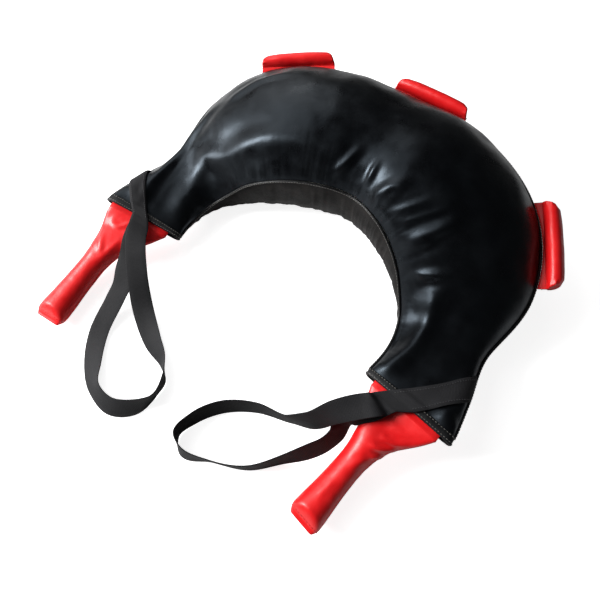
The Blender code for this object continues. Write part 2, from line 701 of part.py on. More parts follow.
def grip_frame(place, lean):
    s = place / SPINE_HALF_LENGTH
    step = 1 / FINE_STEPS
    stretch = np.linalg.norm(seam_point(s + step) - seam_point(s - step)) / (2 * step)
    span = GRIP_HALF_LENGTH / stretch
    first = seam_point(s - span)
    last = seam_point(s + span)
    along = unit(last - first)
    around = skin(s, seam_angle(s) + step) - skin(s, seam_angle(s) - step)
    normal = np.cross(along, around)
    middle = (first + last) / 2
    normal = normal if np.dot(normal, seam_point(s) - middle) > 0 else -normal
    proud = unit(normal - along * np.dot(normal, along))
    up = unit(np.cross(along, proud))
    up = up if up[2] > 0 else -up
    bulge = np.dot(seam_point(s) - middle, proud)
    axis_reach = bulge + WELT_LIFT + WELT_RADIUS + SEAT_GAP + GRIP_NOSE_RADIUS
    return s, span, middle, along, proud, up, bulge, axis_reach, lean


def grip_outline(x, inset, frame):
    # A drop-shaped section: a roll on the outside, and a nose that lies along the seam
    s, span, middle, along, proud, up, bulge, axis_reach, lean = frame
    part = abs(x) / GRIP_HALF_LENGTH
    centre = bulge + GRIP_ROLL_REACH - GRIP_BOW * part * part + lean * (x / GRIP_HALF_LENGTH - 1)
    half_height = GRIP_HALF_HEIGHT * (1 - GRIP_END_DROP_SHARE * ease(part * part)) - inset
    inner = centre - axis_reach + GRIP_NOSE_RADIUS - inset * 2
    outer = GRIP_HALF_DEPTH * (1 - GRIP_END_DROP_SHARE / 2 * ease(part * part)) - inset
    points = []
    for k in range(GRIP_SIDES):
        angle = k / GRIP_SIDES * 2 * math.pi
        cosine = math.cos(angle)
        sine = math.sin(angle)
        power = 1 + GRIP_POINT_SHARE if cosine < 0 else 1
        reach = centre + cosine * (outer if cosine > 0 else inner)
        rise = math.copysign(abs(sine) ** power, sine) * half_height
        slant = GRIP_SLANT_SHARE * part**3 * (reach - axis_reach) * (1 if x > 0 else -1)
        points.append(middle + along * (x - slant) + proud * reach + up * rise)
    return points


def build_grip(side_name, place, lean):
    frame = grip_frame(place, lean)
    s, span, middle, along, proud, up, bulge, axis_reach, lean = frame
    axis = middle + proud * axis_reach
    shares = np.array(GRIP_ROW_SHARES)
    places = np.concatenate([-shares[::-1], shares[1:]]) * GRIP_HALF_LENGTH
    name = side_name + "_grip"
    outside = [grip_outline(x, 0, frame) for x in places]
    inside = [grip_outline(x, COVER_THICKNESS, frame) for x in places]
    add_sleeve(name + "_cover", outside, inside, RED_GLOSS, axis)
    core = [grip_outline(x, COVER_THICKNESS + LAYER_GAP, frame) for x in places]
    add_loft(name + "_core", core[1:-1], PAD_LOOK, axis)
    for end_name, side in SIDES:
        rows = []
        start = math.sqrt(GRIP_TAB_HEIGHT / bulge)
        for part in np.linspace(start, 1, 5):
            seam = seam_point(s + side * span * part) - middle
            low = np.dot(seam, proud) + WELT_LIFT + WELT_RADIUS + SEAT_GAP
            high = axis_reach - GRIP_NOSE_RADIUS - SEAT_GAP
            x = np.dot(seam, along)
            shift = np.dot(seam, up)
            corners = []
            for reach, sign in ((low, -1), (low, 1), (high, 1), (high, -1)):
                rise = shift * (high - reach) / (high - low) + sign * GRIP_TAB_HALF_THICKNESS
                corners.append(middle + along * x + proud * reach + up * rise)
            rows.append(corners)
        add_loft(name + "_" + end_name + "_tab", rows, RED_GLOSS)


for leftover in list(bpy.data.objects):
    bpy.data.objects.remove(leftover, do_unlink=True)
collection = bpy.data.collections.new("bulgarian_bag")
bpy.context.scene.collection.children.link(collection)
build_body()
for name_of_side, sign_of_side in SIDES:
    build_handle(name_of_side, sign_of_side)
    build_band(name_of_side, sign_of_side)
    build_strap(name_of_side, sign_of_side)
for name_of_grip, place_of_grip, lean_of_grip in GRIP_PLACES:
    build_grip(name_of_grip, place_of_grip, lean_of_grip)
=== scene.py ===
# Crescent training bag: black coated leather filled with sand bags, a red padded handle and a
# webbing wrist loop at each horn, and three red rolled grips on the outer seam.
# Metres. The crest points to +Y, the two horns and their handles to -Y, and the floor is at z = 0.
import math

import bmesh
import bpy
import numpy as np
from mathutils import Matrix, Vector, noise


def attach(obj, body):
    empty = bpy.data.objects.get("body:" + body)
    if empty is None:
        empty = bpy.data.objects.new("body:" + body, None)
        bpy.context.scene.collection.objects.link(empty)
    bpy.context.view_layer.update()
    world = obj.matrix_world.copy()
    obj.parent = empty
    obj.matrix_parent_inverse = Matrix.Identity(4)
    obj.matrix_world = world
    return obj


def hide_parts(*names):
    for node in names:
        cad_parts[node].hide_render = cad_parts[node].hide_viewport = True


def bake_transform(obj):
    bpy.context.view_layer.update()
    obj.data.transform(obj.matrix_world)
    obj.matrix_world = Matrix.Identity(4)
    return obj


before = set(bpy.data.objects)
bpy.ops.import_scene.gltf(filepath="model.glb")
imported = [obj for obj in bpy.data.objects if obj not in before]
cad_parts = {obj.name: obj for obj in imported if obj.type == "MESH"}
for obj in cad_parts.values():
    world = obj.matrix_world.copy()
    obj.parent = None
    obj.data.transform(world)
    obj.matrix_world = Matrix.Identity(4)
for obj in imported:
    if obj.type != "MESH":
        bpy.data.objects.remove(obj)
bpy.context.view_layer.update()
print("frame loaded:", len(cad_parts), "nodes")


# Camera
cameraView = {
    "place": (0.1632, -0.4901, 0.7299),
    "forward": (-0.2922, 0.4587, -0.8391),
    "lens": 30.38,  # mm on a 36 mm sensor
    "shiftUp": -0.1575,  # the photograph is framed below the lens axis
}


def addObject(name, data):
    made = bpy.data.objects.new(name, data)
    bpy.context.scene.collection.objects.link(made)
    return made


def aimObject(made, place, forward):
    made.location = place
    made.rotation_mode = "QUATERNION"
    made.rotation_quaternion = Vector(forward).to_track_quat("-Z", "Y")


cameraData = bpy.data.cameras.new("photoCamera")
cameraData.lens = cameraView["lens"]
cameraData.sensor_width = 36
cameraData.shift_y = cameraView["shiftUp"]
cameraData.clip_start = 0.01
camera = addObject("photoCamera", cameraData)
aimObject(camera, cameraView["place"], cameraView["forward"])
bpy.context.scene.camera = camera


# Shape of the body, the same as the solids
bodyShape = {
    "halfLength": 0.435,  # along the middle line, from the crest to a mouth
    "crestRadius": 0.253,
    "outerReach": 0.126,
    "innerReach": 0.107,
    "halfThickness": 0.093,
    "floorSag": 0.006,
    "mouthHeights": (0.053, 0.064),  # left, right
    "mouthRolls": (math.radians(16), math.radians(8)),
    "seamRise": math.radians(18),
    "roundness": (0.94, 0.6),  # crest, mouth
    "mouthHalfThickness": 0.007,
    "hornStart": 0.55,
    "bendStations": (-1.0, -0.667, -0.333, 0.0, 0.333, 0.667, 1.0),
    "bends": (0.95, 1.20, 0.82, 0.95, 1.33, 1.00, 0.45),
    "stations": (-1.0, -0.88, -0.74, -0.58, -0.42, -0.2, 0.0, 0.2, 0.42, 0.58, 0.74, 0.88, 1.0),
    "outer": (0.47, 0.39, 0.40, 0.825, 1.095, 1.06, 1.0, 1.02, 0.965, 0.775, 0.42, 0.42, 0.48),
    "inner": (0.58, 0.58, 0.60, 0.83, 0.99, 1.05, 1.0, 1.07, 1.0, 0.85, 0.65, 0.59, 0.61),
    "thickness": (0.22, 0.38, 0.72, 0.93, 1.03, 1.0, 1.04, 0.91, 0.68, 0.34, 0.20),
}
fineShares = np.linspace(-1, 1, 181)  # from mouth to mouth
bothSides = (("left", -1), ("right", 1))


def smooth(stations, values, at):
    # A smooth curve through values, read at any places
    stations, values = np.asarray(stations, float), np.asarray(values, float)
    slopes = np.gradient(values, stations)
    spot = np.clip(np.searchsorted(stations, at, side="right") - 1, 0, len(stations) - 2)
    width = stations[spot + 1] - stations[spot]
    u = (at - stations[spot]) / width
    start = (1 + 2 * u) * (1 - u) ** 2 * values[spot] + u * (1 - u) ** 2 * width * slopes[spot]
    return start + u**2 * (3 - 2 * u) * values[spot + 1] + u**2 * (u - 1) * width * slopes[spot + 1]


def ease(share):
    share = np.clip(share, 0, 1)
    return share * share * (3 - 2 * share)


def beyond(start, value):
    # The share of the way from a start to 1
    return (value - start) / (1 - start)


def unit(vector):
    vector = np.asarray(vector, float)
    return vector / np.linalg.norm(vector, axis=-1, keepdims=True)


def runLength(points):
    # How far along a line each of its points is
    return np.concatenate([[0], np.cumsum(np.linalg.norm(np.diff(points, axis=0), axis=1))])


def pointsAt(line, reach, at):
    return np.stack([np.interp(at, reach, line[:, k]) for k in range(line.shape[1])], -1)


def ringTurns(count):
    # Even angles for the points of a ring
    return np.arange(count) / count * 2 * math.pi


def pushOut(points, centre, height):
    # Moves points away from their centres
    return points + unit(points - centre) * np.asarray(height)[..., None]


def squared(wave, power):
    # A sine or cosine that makes an oval squarer, below 1, or more pointed, above 1
    return np.sign(wave) * np.abs(wave) ** power


def spread(along, around):
    # Pairs of a place along and a place around, for each point of a grid
    return np.stack(np.broadcast_arrays(along, around), -1)


def lumps(points, size, seed):
    # Soft unevenness of a given size in metres, from -1 to 1, the same on every run
    flat = np.asarray(points).reshape(-1, 3) / size + seed * 7.31
    return np.array([noise.noise(Vector(p)) for p in flat]).reshape(np.shape(points)[:-1])


def uneven(height, points, sizes, seed):
    for k, (size, depth) in enumerate(sizes):
        height = height + lumps(points, size, seed + k) * depth
    return height


def runningTotal(rates):
    total = np.concatenate([[0], np.cumsum((rates[1:] + rates[:-1]) / 2)])
    return (total - total[len(total) // 2]) * bodyShape["halfLength"] * (fineShares[1] - fineShares[0])


bends = smooth(bodyShape["bendStations"], bodyShape["bends"], fineShares)
spineTurn = runningTotal(bends / bodyShape["crestRadius"])
spineX = runningTotal(np.cos(spineTurn))
spineY = runningTotal(-np.sin(spineTurn))
mouthShare = bodyShape["mouthHalfThickness"] / bodyShape["halfThickness"]
thicknessShares = (mouthShare,) + bodyShape["thickness"] + (mouthShare,)


def hornBlend(s):
    return ease(beyond(bodyShape["hornStart"], np.abs(s)))


def seamAngle(s):
    return bodyShape["seamRise"] * (1 - hornBlend(s))


def skin(s, angle):
    # s runs from mouth to mouth, -1 to 1; angle turns round the section from the outer side
    s, angle = np.broadcast_arrays(np.asarray(s, float), angle)
    turn = np.interp(s, fineShares, spineTurn)
    outer = bodyShape["outerReach"] * smooth(bodyShape["stations"], bodyShape["outer"], s)
    inner = bodyShape["innerReach"] * smooth(bodyShape["stations"], bodyShape["inner"], s)
    half = bodyShape["halfThickness"] * smooth(bodyShape["stations"], thicknessShares, s)
    horn = hornBlend(s)
    mouthHeight = np.where(s < 0, *bodyShape["mouthHeights"])
    middle = (half - bodyShape["floorSag"]) * (1 - horn) + mouthHeight * horn
    power = bodyShape["roundness"][0] + (bodyShape["roundness"][1] - bodyShape["roundness"][0]) * horn
    across = squared(np.cos(angle), power) * np.where(np.cos(angle) > 0, outer, inner)
    rise = squared(np.sin(angle), power) * half
    roll = np.where(s < 0, *bodyShape["mouthRolls"]) * horn
    x = np.interp(s, fineShares, spineX) + np.sin(turn) * across
    y = np.interp(s, fineShares, spineY) + np.cos(turn) * across
    return np.stack([x, y, np.maximum(middle + rise + across * np.sin(roll), 0)], -1)


def seamPoint(s):
    return skin(s, seamAngle(s))


# Mesh helpers
def meshPiece(name, points, faces, material, uv=None, smoothAngle=50):
    mesh = bpy.data.meshes.new(name)
    mesh.from_pydata([tuple(p) for p in np.asarray(points).reshape(-1, 3)], [], faces)
    mesh.validate()
    if uv is not None:
        flat = np.asarray(uv).reshape(-1, 2)
        corners = np.zeros(len(mesh.loops), np.int32)
        mesh.loops.foreach_get("vertex_index", corners)
        mesh.uv_layers.new(name="UVMap").data.foreach_set("uv", flat[corners].ravel())
    work = bmesh.new()
    work.from_mesh(mesh)
    bmesh.ops.recalc_face_normals(work, faces=work.faces)
    work.to_mesh(mesh)
    work.free()
    mesh.polygons.foreach_set("use_smooth", [True] * len(mesh.polygons))
    mesh.set_sharp_from_angle(angle=math.radians(smoothAngle))
    mesh.materials.append(material)
    return addObject(name, mesh)


def ringFaces(rows, columns, joined=False):
    faces = []
    for i in range(rows if joined else rows - 1):
        a, b = i * columns, (i + 1) % rows * columns
        for j in range(columns):
            k = (j + 1) % columns
            faces.append((a + j, a + k, b + k, b + j))
    return faces


def shellPiece(name, outside, inside, material, uv=None):
    # A sheet with a wall: each row is a closed ring of its outer and then its inner skin
    rings = np.concatenate([outside, inside[:, ::-1]], axis=1)
    rows, columns = rings.shape[:2]
    faces = ringFaces(rows, columns)
    for start in (0, (rows - 1) * columns):
        for j in range(columns // 2 - 1):
            faces.append(tuple(start + k for k in (j, j + 1, columns - 2 - j, columns - 1 - j)))
    if uv is not None:
        uv = np.concatenate([uv, uv[:, ::-1]], axis=1)
    return meshPiece(name, rings, faces, material, uv)


def loftPiece(name, rings, material, uv=None, smoothAngle=50):
    # A solid through rings of points, with its ends closed in to a middle point
    rings = np.asarray(rings, float)
    rows, columns = rings.shape[:2]
    points = [*rings.reshape(-1, 3), rings[0].mean(axis=0), rings[-1].mean(axis=0)]
    faces = ringFaces(rows, columns)
    last = (rows - 1) * columns
    for j in range(columns):
        k = (j + 1) % columns
        faces.append((j, k, rows * columns))
        faces.append((last + j, last + k, rows * columns + 1))
    if uv is not None:
        uv = [*np.asarray(uv).reshape(-1, 2), uv[0][0], uv[-1][0]]
    return meshPiece(name, points, faces, material, uv, smoothAngle)


def tubeRings(line, radius, sides):
    heading = unit(np.gradient(line, axis=0))
    side = unit(np.cross(heading, (0, 0, 1)) + 1e-9)
    up = np.cross(side, heading)
    turns = ringTurns(sides)
    around = np.cos(turns)[None, :, None] * side[:, None] + np.sin(turns)[None, :, None] * up[:, None]
    return line[:, None] + around * radius


def standFor(piece, finish, *nodes, fill=None):
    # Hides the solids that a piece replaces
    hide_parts(*nodes)


# Materials
def hexColour(code):
    channels = [int(code[k:k + 2], 16) / 255 for k in (1, 3, 5)]
    return tuple(c / 12.92 if c <= 0.04045 else ((c + 0.055) / 1.055) ** 2.4 for c in channels) + (1.0,)


def setInputs(tree, node, inputs):
    # Each input takes a value, or the socket that it comes from
    for key, value in inputs.items():
        if isinstance(value, bpy.types.NodeSocket):
            tree.links.new(value, node.inputs[key])
        else:
            node.inputs[key].default_value = value


def addNode(tree, kind, inputs=None, stops=(), **settings):
    # stops are the places and colours of a ramp
    made = tree.nodes.new(kind)
    for key, value in settings.items():
        setattr(made, key, value)
    setInputs(tree, made, inputs or {})
    while stops and len(made.color_ramp.elements) < len(stops):
        made.color_ramp.elements.new(0.5)
    for k, (place, code) in enumerate(stops):
        made.color_ramp.elements[k].position = place
        made.color_ramp.elements[k].color = hexColour(code)
    return made


def newMaterial(name, shown):
    # shown holds the shader's own values: roughness, sheen and so on
    material = bpy.data.materials.new(name)
    material.use_nodes = True
    shader = material.node_tree.nodes["Principled BSDF"]
    setInputs(material.node_tree, shader, shown)
    return material, material.node_tree, shader


def leatherMaterial(name, look):
    # Grain cells and fine creases as bump, slow changes of colour and polish
    material, tree, shader = newMaterial(name, look["shader"])
    place = addNode(tree, "ShaderNodeTexCoord").outputs["Object"]
    cloud = addNode(tree, "ShaderNodeTexNoise", {
        "Vector": place, "Scale": 1 / look["cloudSize"], "Detail": 4.0, "Roughness": 0.6})
    colour = addNode(tree, "ShaderNodeValToRGB", {"Fac": cloud.outputs["Fac"]}, look["colours"])
    polish = addNode(tree, "ShaderNodeTexNoise", {
        "Vector": place, "Scale": 1 / look["polishSize"], "Detail": 3.0})
    rough = addNode(tree, "ShaderNodeMapRange", {
        "Value": polish.outputs["Fac"], "From Min": 0.3, "From Max": 0.7,
        "To Min": look["roughness"][0], "To Max": look["roughness"][1]})
    grain = addNode(tree, "ShaderNodeTexVoronoi", {
        "Vector": place, "Scale": 1 / look["grainSize"]}, feature="DISTANCE_TO_EDGE")
    pebble = addNode(tree, "ShaderNodeMapRange", {"Value": grain.outputs["Distance"], "From Max": 0.25})
    crease = addNode(tree, "ShaderNodeTexNoise", {
        "Vector": place, "Scale": 1 / look["creaseSize"],
        "Detail": 5.0, "Roughness": 0.55, "Distortion": 0.8})
    first = addNode(tree, "ShaderNodeBump", {
        "Height": crease.outputs["Fac"],
        "Strength": look["creaseStrength"], "Distance": look["creaseDepth"]})
    second = addNode(tree, "ShaderNodeBump", {
        "Height": pebble.outputs["Result"], "Normal": first.outputs["Normal"],
        "Strength": look["grainStrength"], "Distance": look["grainDepth"]})
    setInputs(tree, shader, {
        "Base Color": colour.outputs["Color"], "Roughness": rough.outputs["Result"],
        "Normal": second.outputs["Normal"]})
    return material


# Polyurethane-coated split leather, pressed smooth: near black with broad, soft-edged highlights; the bluish Specular
# Tint paints the cool colour of the studio light into its reflections
coatedLeather = leatherMaterial("polyurethaneCoatedLeather", {
    "shader": {"IOR": 1.5, "Specular IOR Level": 0.32, "Specular Tint": (0.70, 0.85, 1.0, 1.0)},
    "colours": ((0.30, "#020203"), (0.52, "#050506"), (0.72, "#0a0b0d")),
    "cloudSize": 0.11, "polishSize": 0.03, "roughness": (0.24, 0.44),
    "grainSize": 0.0011, "grainStrength": 0.10, "grainDepth": 0.0002,
    "creaseSize": 0.014, "creaseStrength": 0.16, "creaseDepth": 0.0012,
})
# Embossed split leather without a top coat: dull brown black, dusty on its high grain
grainedLeather = leatherMaterial("embossedSplitLeather", {
    "shader": {"IOR": 1.45, "Specular IOR Level": 0.25},
    "colours": ((0.30, "#090807"), (0.50, "#12100f"), (0.72, "#1f1b19")),
    "cloudSize": 0.022, "polishSize": 0.03, "roughness": (0.55, 0.75),
    "grainSize": 0.0014, "grainStrength": 0.35, "grainDepth": 0.0003,
    "creaseSize": 0.009, "creaseStrength": 0.5, "creaseDepth": 0.0010,
})
# Red vinyl-coated leather, rolled on a glossy backing: clear red with long soft highlights
redLeather = leatherMaterial("redVinylCoatedLeather", {
    "shader": {"IOR": 1.5, "Specular IOR Level": 0.38, "Coat Weight": 0.12, "Coat Roughness": 0.22},
    "colours": ((0.30, "#d91014"), (0.50, "#e4171a"), (0.75, "#ef2426")),
    "cloudSize": 0.035, "polishSize": 0.02, "roughness": (0.34, 0.46),
    "grainSize": 0.0010, "grainStrength": 0.10, "grainDepth": 0.0002,
    "creaseSize": 0.010, "creaseStrength": 0.30, "creaseDepth": 0.0008,
})
# Black piping: the coated leather wrapped on a cord, polished where it is rubbed
pipingLeather = leatherMaterial("coatedLeatherPiping", {
    "shader": {"IOR": 1.5, "Specular IOR Level": 0.3},
    "colours": ((0.35, "#070708"), (0.65, "#111214")),
    "cloudSize": 0.01, "polishSize": 0.01, "roughness": (0.35, 0.5),
    "grainSize": 0.0009, "grainStrength": 0.2, "grainDepth": 0.0002,
    "creaseSize": 0.004, "creaseStrength": 0.5, "creaseDepth": 0.0006,
})


def wovenMaterial(name, look):
    # Warp ribs along the strap and weft picks across it, on the piece's own UV map in metres
    material, tree, shader = newMaterial(name, look["shader"])
    place = addNode(tree, "ShaderNodeUVMap", uv_map="UVMap").outputs["UV"]
    bands = []
    # A wave texture has 20 radians to one unit of its scale
    for direction, pitch in (("Y", look["warp"]), ("X", look["weft"])):
        wave = addNode(tree, "ShaderNodeTexWave", {
            "Vector": place, "Scale": math.pi / 10 / pitch}, bands_direction=direction)
        bands.append(wave.outputs["Fac"])
    weave = addNode(tree, "ShaderNodeMath", {0: bands[0], 1: bands[1]}, operation="MULTIPLY")
    fuzz = addNode(tree, "ShaderNodeTexNoise", {
        "Vector": place, "Scale": 1 / look["fuzz"], "Detail": 3.0})
    mixed = addNode(tree, "ShaderNodeMath", {
        0: weave.outputs["Value"], 1: fuzz.outputs["Fac"]}, operation="ADD")
    colour = addNode(tree, "ShaderNodeValToRGB", {"Fac": mixed.outputs["Value"]}, look["colours"])
    bump = addNode(tree, "ShaderNodeBump", {
        "Height": mixed.outputs["Value"], "Strength": look["strength"], "Distance": 0.0004})
    setInputs(tree, shader, {"Base Color": colour.outputs["Color"], "Normal": bump.outputs["Normal"]})
    return material


# Woven polypropylene webbing: charcoal, dull, with fine ribs; the real 0.9 mm ribs are drawn at 1.5 mm
webbing = wovenMaterial("wovenPolypropyleneWebbing", {
    "shader": {"Roughness": 0.72, "IOR": 1.49, "Specular IOR Level": 0.3},
    "warp": 0.0015, "weft": 0.0019, "fuzz": 0.0012, "strength": 0.5,
    "colours": ((0.25, "#0c0c0e"), (0.6, "#151517"), (1.0, "#1f1f22")),
})
# Cotton canvas of the sand bags: undyed, dull, with slubs in its weave
canvas = wovenMaterial("plainWovenCottonCanvas", {
    "shader": {"Roughness": 0.9, "IOR": 1.45, "Sheen Weight": 0.3},
    "warp": 0.0018, "weft": 0.0018, "fuzz": 0.006, "strength": 0.6,
    "colours": ((0.25, "#7a6547"), (0.6, "#97825e"), (1.0, "#b19c76")),
})
# Polyester lining: pale grey, thin and even, with the slight shine of filament yarn
linerCloth = wovenMaterial("wovenPolyesterLiner", {
    "shader": {"Roughness": 0.8, "IOR": 1.5},
    "warp": 0.0014, "weft": 0.0014, "fuzz": 0.004, "strength": 0.4,
    "colours": ((0.25, "#77766f"), (0.6, "#8f8e86"), (1.0, "#a3a29a")),
})


def fibreMaterial(name, size, strength, colours, **shown):
    # Loose fibres or strands: soft speckle and a rough, open surface
    material, tree, shader = newMaterial(name, shown)
    place = addNode(tree, "ShaderNodeTexCoord").outputs["Object"]
    speck = addNode(tree, "ShaderNodeTexNoise", {
        "Vector": place, "Scale": 1 / size, "Detail": 4.0, "Roughness": 0.7}).outputs["Fac"]
    stops = tuple(zip((0.3, 0.7), colours))
    colour = addNode(tree, "ShaderNodeValToRGB", {"Fac": speck}, stops)
    bump = addNode(tree, "ShaderNodeBump", {"Height": speck, "Strength": strength, "Distance": size / 4})
    setInputs(tree, shader, {"Base Color": colour.outputs["Color"], "Normal": bump.outputs["Normal"]})
    return material


# Needled polyester wadding: pale grey, matted fibres
wadding = fibreMaterial("needledPolyesterWadding", 0.003, 0.8, ("#97968f", "#bdbcb4"),
                        **{"Roughness": 0.95, "Sheen Weight": 0.3})
# Laid jute twine of the bag ties: straw colour, hairy
twine = fibreMaterial("laidJuteTwine", 0.0015, 0.9, ("#9c8a62", "#c9b88d"), Roughness=0.9)
# Bonded polyester thread, waxed: strands with a slight shine
threadColours = {
    "Grey": ("#595753", "#7d7a74"),
    "Black": ("#2a2a2c", "#4a4a4d"),
    "Red": ("#a50d10", "#cf2023"),
}
threads = {}
for label, colours in threadColours.items():
    threads[label] = fibreMaterial("bondedPolyesterThread" + label, 0.0008, 0.4, colours, Roughness=0.5, IOR=1.55)
print("materials made")


# Stitches, made by one Geometry Nodes tree
stitchSockets = {
    "Seam": "Geometry", "Pitch": "Float", "Stitch Length": "Float", "Thread Radius": "Float",
    "Slant": "Float", "Seed": "Int", "Thread": "Material",
}

stitchWobble = 0.12  # radians that a stitch may turn from its row
stitchLift = 0.0002  # rows of stitches lie just over the cloth


def stitchTree():
    tree = bpy.data.node_groups.new("stitchRow", "GeometryNodeTree")
    for name, kind in stitchSockets.items():
        tree.interface.new_socket(name=name, in_out="INPUT", socket_type="NodeSocket" + kind)
    tree.interface.new_socket(name="Stitches", in_out="OUTPUT", socket_type="NodeSocketGeometry")
    given = addNode(tree, "NodeGroupInput").outputs
    curve = addNode(tree, "GeometryNodeMeshToCurve", {"Mesh": given["Seam"]})
    spaced = addNode(tree, "GeometryNodeResampleCurve", {
        "Curve": curve.outputs["Curve"], "Length": given["Pitch"]}, mode="LENGTH")
    bead = addNode(tree, "GeometryNodeMeshUVSphere", {"Segments": 6, "Rings": 5, "Radius": 0.5})
    tangent = addNode(tree, "GeometryNodeInputTangent")
    facing = addNode(tree, "FunctionNodeAlignEulerToVector", {"Vector": tangent.outputs["Tangent"]}, axis="X")
    wobble = addNode(tree, "FunctionNodeRandomValue", {2: -1.0, 3: 1.0, "Seed": given["Seed"]})
    amount = addNode(tree, "ShaderNodeMath", {
        0: wobble.outputs[1], 1: stitchWobble, 2: given["Slant"]}, operation="MULTIPLY_ADD")
    tilt = addNode(tree, "ShaderNodeCombineXYZ", {"Z": amount.outputs["Value"]})
    turned = addNode(tree, "FunctionNodeRotateEuler", {
        "Rotation": facing.outputs["Rotation"], "Rotate By": tilt.outputs["Vector"]}, space="LOCAL")
    width = addNode(tree, "ShaderNodeMath", {0: given["Thread Radius"], 1: 2.0}, operation="MULTIPLY")
    size = addNode(tree, "ShaderNodeCombineXYZ", {
        "X": given["Stitch Length"], "Y": width.outputs["Value"], "Z": width.outputs["Value"]})
    placed = addNode(tree, "GeometryNodeInstanceOnPoints", {
        "Points": spaced.outputs["Curve"], "Instance": bead.outputs["Mesh"],
        "Rotation": turned.outputs["Rotation"], "Scale": size.outputs["Vector"]})
    real = addNode(tree, "GeometryNodeRealizeInstances", {"Geometry": placed.outputs["Instances"]})
    coloured = addNode(tree, "GeometryNodeSetMaterial", {
        "Geometry": real.outputs["Geometry"], "Material": given["Thread"]})
    addNode(tree, "NodeGroupOutput", {"Stitches": coloured.outputs["Geometry"]})
    return tree


stitchRow = stitchTree()
stitchInputs = {item.name: item.identifier for item in stitchRow.interface.items_tree if item.in_out == "INPUT"}


def stitchPiece(name, lines, thread, values):
    # lines are polylines on the surface; the result is one plain mesh of stitches
    points, edges = [], []
    for line in lines:
        edges += [(len(points) + k, len(points) + k + 1) for k in range(len(line) - 1)]
        points += [tuple(p) for p in line]
    mesh = bpy.data.meshes.new(name + "Line")
    mesh.from_pydata(points, edges, [])
    holder = addObject(name + "Line", mesh)
    sewing = holder.modifiers.new("sewing", "NODES")
    sewing.node_group = stitchRow
    for label, value in {**values, "Thread": threads[thread]}.items():
        sewing[stitchInputs[label]] = value
    graph = bpy.context.evaluated_depsgraph_get()
    made = bpy.data.meshes.new_from_object(holder.evaluated_get(graph))
    bpy.data.objects.remove(holder, do_unlink=True)
    made.polygons.foreach_set("use_smooth", [True] * len(made.polygons))
    return addObject(name, made)


# Creases of leather: a ridge along a line, with a shallow valley at each side
creaseShape = {"fineness": 6, "endHeight": 0.25, "valley": 0.25, "valleyPlace": 1.8}


def creaseHeight(points, creases):
    # Each crease is (line it follows, half width, height)
    total = np.zeros(points.shape[:-1])
    for line, width, height in creases:
        line = np.asarray(line, float)
        fine = np.linspace(0, len(line) - 1, creaseShape["fineness"] * len(line))
        line = np.stack([smooth(np.arange(len(line)), line[:, k], fine) for k in range(line.shape[1])], -1)
        best, spot = np.full(total.shape, 1e9), np.zeros(total.shape)
        for k in range(len(line) - 1):
            step = line[k + 1] - line[k]
            t = np.clip((points - line[k]) @ step / (step @ step), 0, 1)
            far = np.linalg.norm(points - line[k] - t[..., None] * step, axis=-1)
            nearer = far < best
            best = np.where(nearer, far, best)
            spot = np.where(nearer, (k + t) / (len(line) - 1), spot)
        taper = creaseShape["endHeight"] + (1 - creaseShape["endHeight"]) * np.sqrt(np.sin(np.pi * spot))
        beside = best - creaseShape["valleyPlace"] * width
        ridge = np.exp(-(best / width) ** 2) - creaseShape["valley"] * np.exp(-(beside / width) ** 2)
        total += height * taper * ridge
    return total


# Skins of the body
skinShape = {
    "rows": 380,
    "columns": 58,
    "wall": 0.002,
    "edge": 0.0024,  # how far a skin stops short of the seam line, under the piping
    "mouthFade": 0.07,  # shares over which unevenness fades out, at the mouths and at the seams
    "edgeFade": 0.05,
}
topSkin = {
    "lumps": ((0.085, 0.0018), (0.038, 0.0012), (0.016, 0.00025)),  # size, depth of the sand's unevenness
    "gather": 0.0014,  # small puckers where the skin is sewn to the shorter inner seam
    "gatherSizes": ((0.012, 1.0), (0.006, 0.6)),  # size, share of the depth
    "gatherReach": ((0.09, 1.0), (0.05, 0.6)),  # how far they run and how deep: inner seam, outer seam
    "deepest": 0.0013,  # the folds sink no further, so that the lining stays covered
    # half width mm, height mm, then the line: station, share of the way from the inner to the outer seam
    "folds": (
        (16, 4.5, (-0.953, 0.15), (-0.866, 0.26), (-0.798, 0.31), (-0.689, 0.47),
         (-0.621, 0.28), (-0.50, 0.25), (-0.37, 0.23), (-0.25, 0.22)),
        (9, 4.2, (-0.959, 0.66), (-0.868, 0.76), (-0.696, 0.86), (-0.599, 0.81)),
        (8, 3.2, (-0.540, 0.71), (-0.456, 0.71), (-0.365, 0.71)),
        (9, 3.4, (-0.852, 0.90), (-0.934, 0.83), (-0.985, 0.66)),
        (6, 3.2, (-0.101, 0.09), (-0.032, 0.26)),
        (5, 2.6, (0.069, 0.12), (0.065, 0.23)),
        (8, 4.2, (0.150, 0.07), (0.185, 0.17), (0.235, 0.24)),
        (5, 1.5, (0.298, 0.11), (0.344, 0.30)),
        (9, 4.7, (0.463, 0.12), (0.458, 0.27), (0.432, 0.41)),
        (7, 3.5, (0.592, 0.14), (0.590, 0.25), (0.585, 0.38)),
        (14, 2.4, (0.683, 0.13), (0.658, 0.33)),
        (16, 4.7, (0.602, 0.39), (0.645, 0.32), (0.700, 0.32), (0.780, 0.295),
         (0.850, 0.245), (0.940, 0.155), (0.985, 0.08)),
        (9, 2.6, (0.645, 0.32), (0.700, 0.32), (0.780, 0.295), (0.850, 0.245), (0.940, 0.155), (0.985, 0.08)),
        (12, 8.0, (0.955, 0.78), (0.985, 0.92)),
        (4, 1.4, (0.380, 0.14), (0.393, 0.36)),
        (6, 2.0, (0.492, 0.10), (0.486, 0.26)),
        (8, 2.2, (0.207, 0.10), (0.250, 0.19)),
        (13, 3.2, (0.960, 0.87), (0.834, 0.89), (0.756, 0.88)),
    ),
}
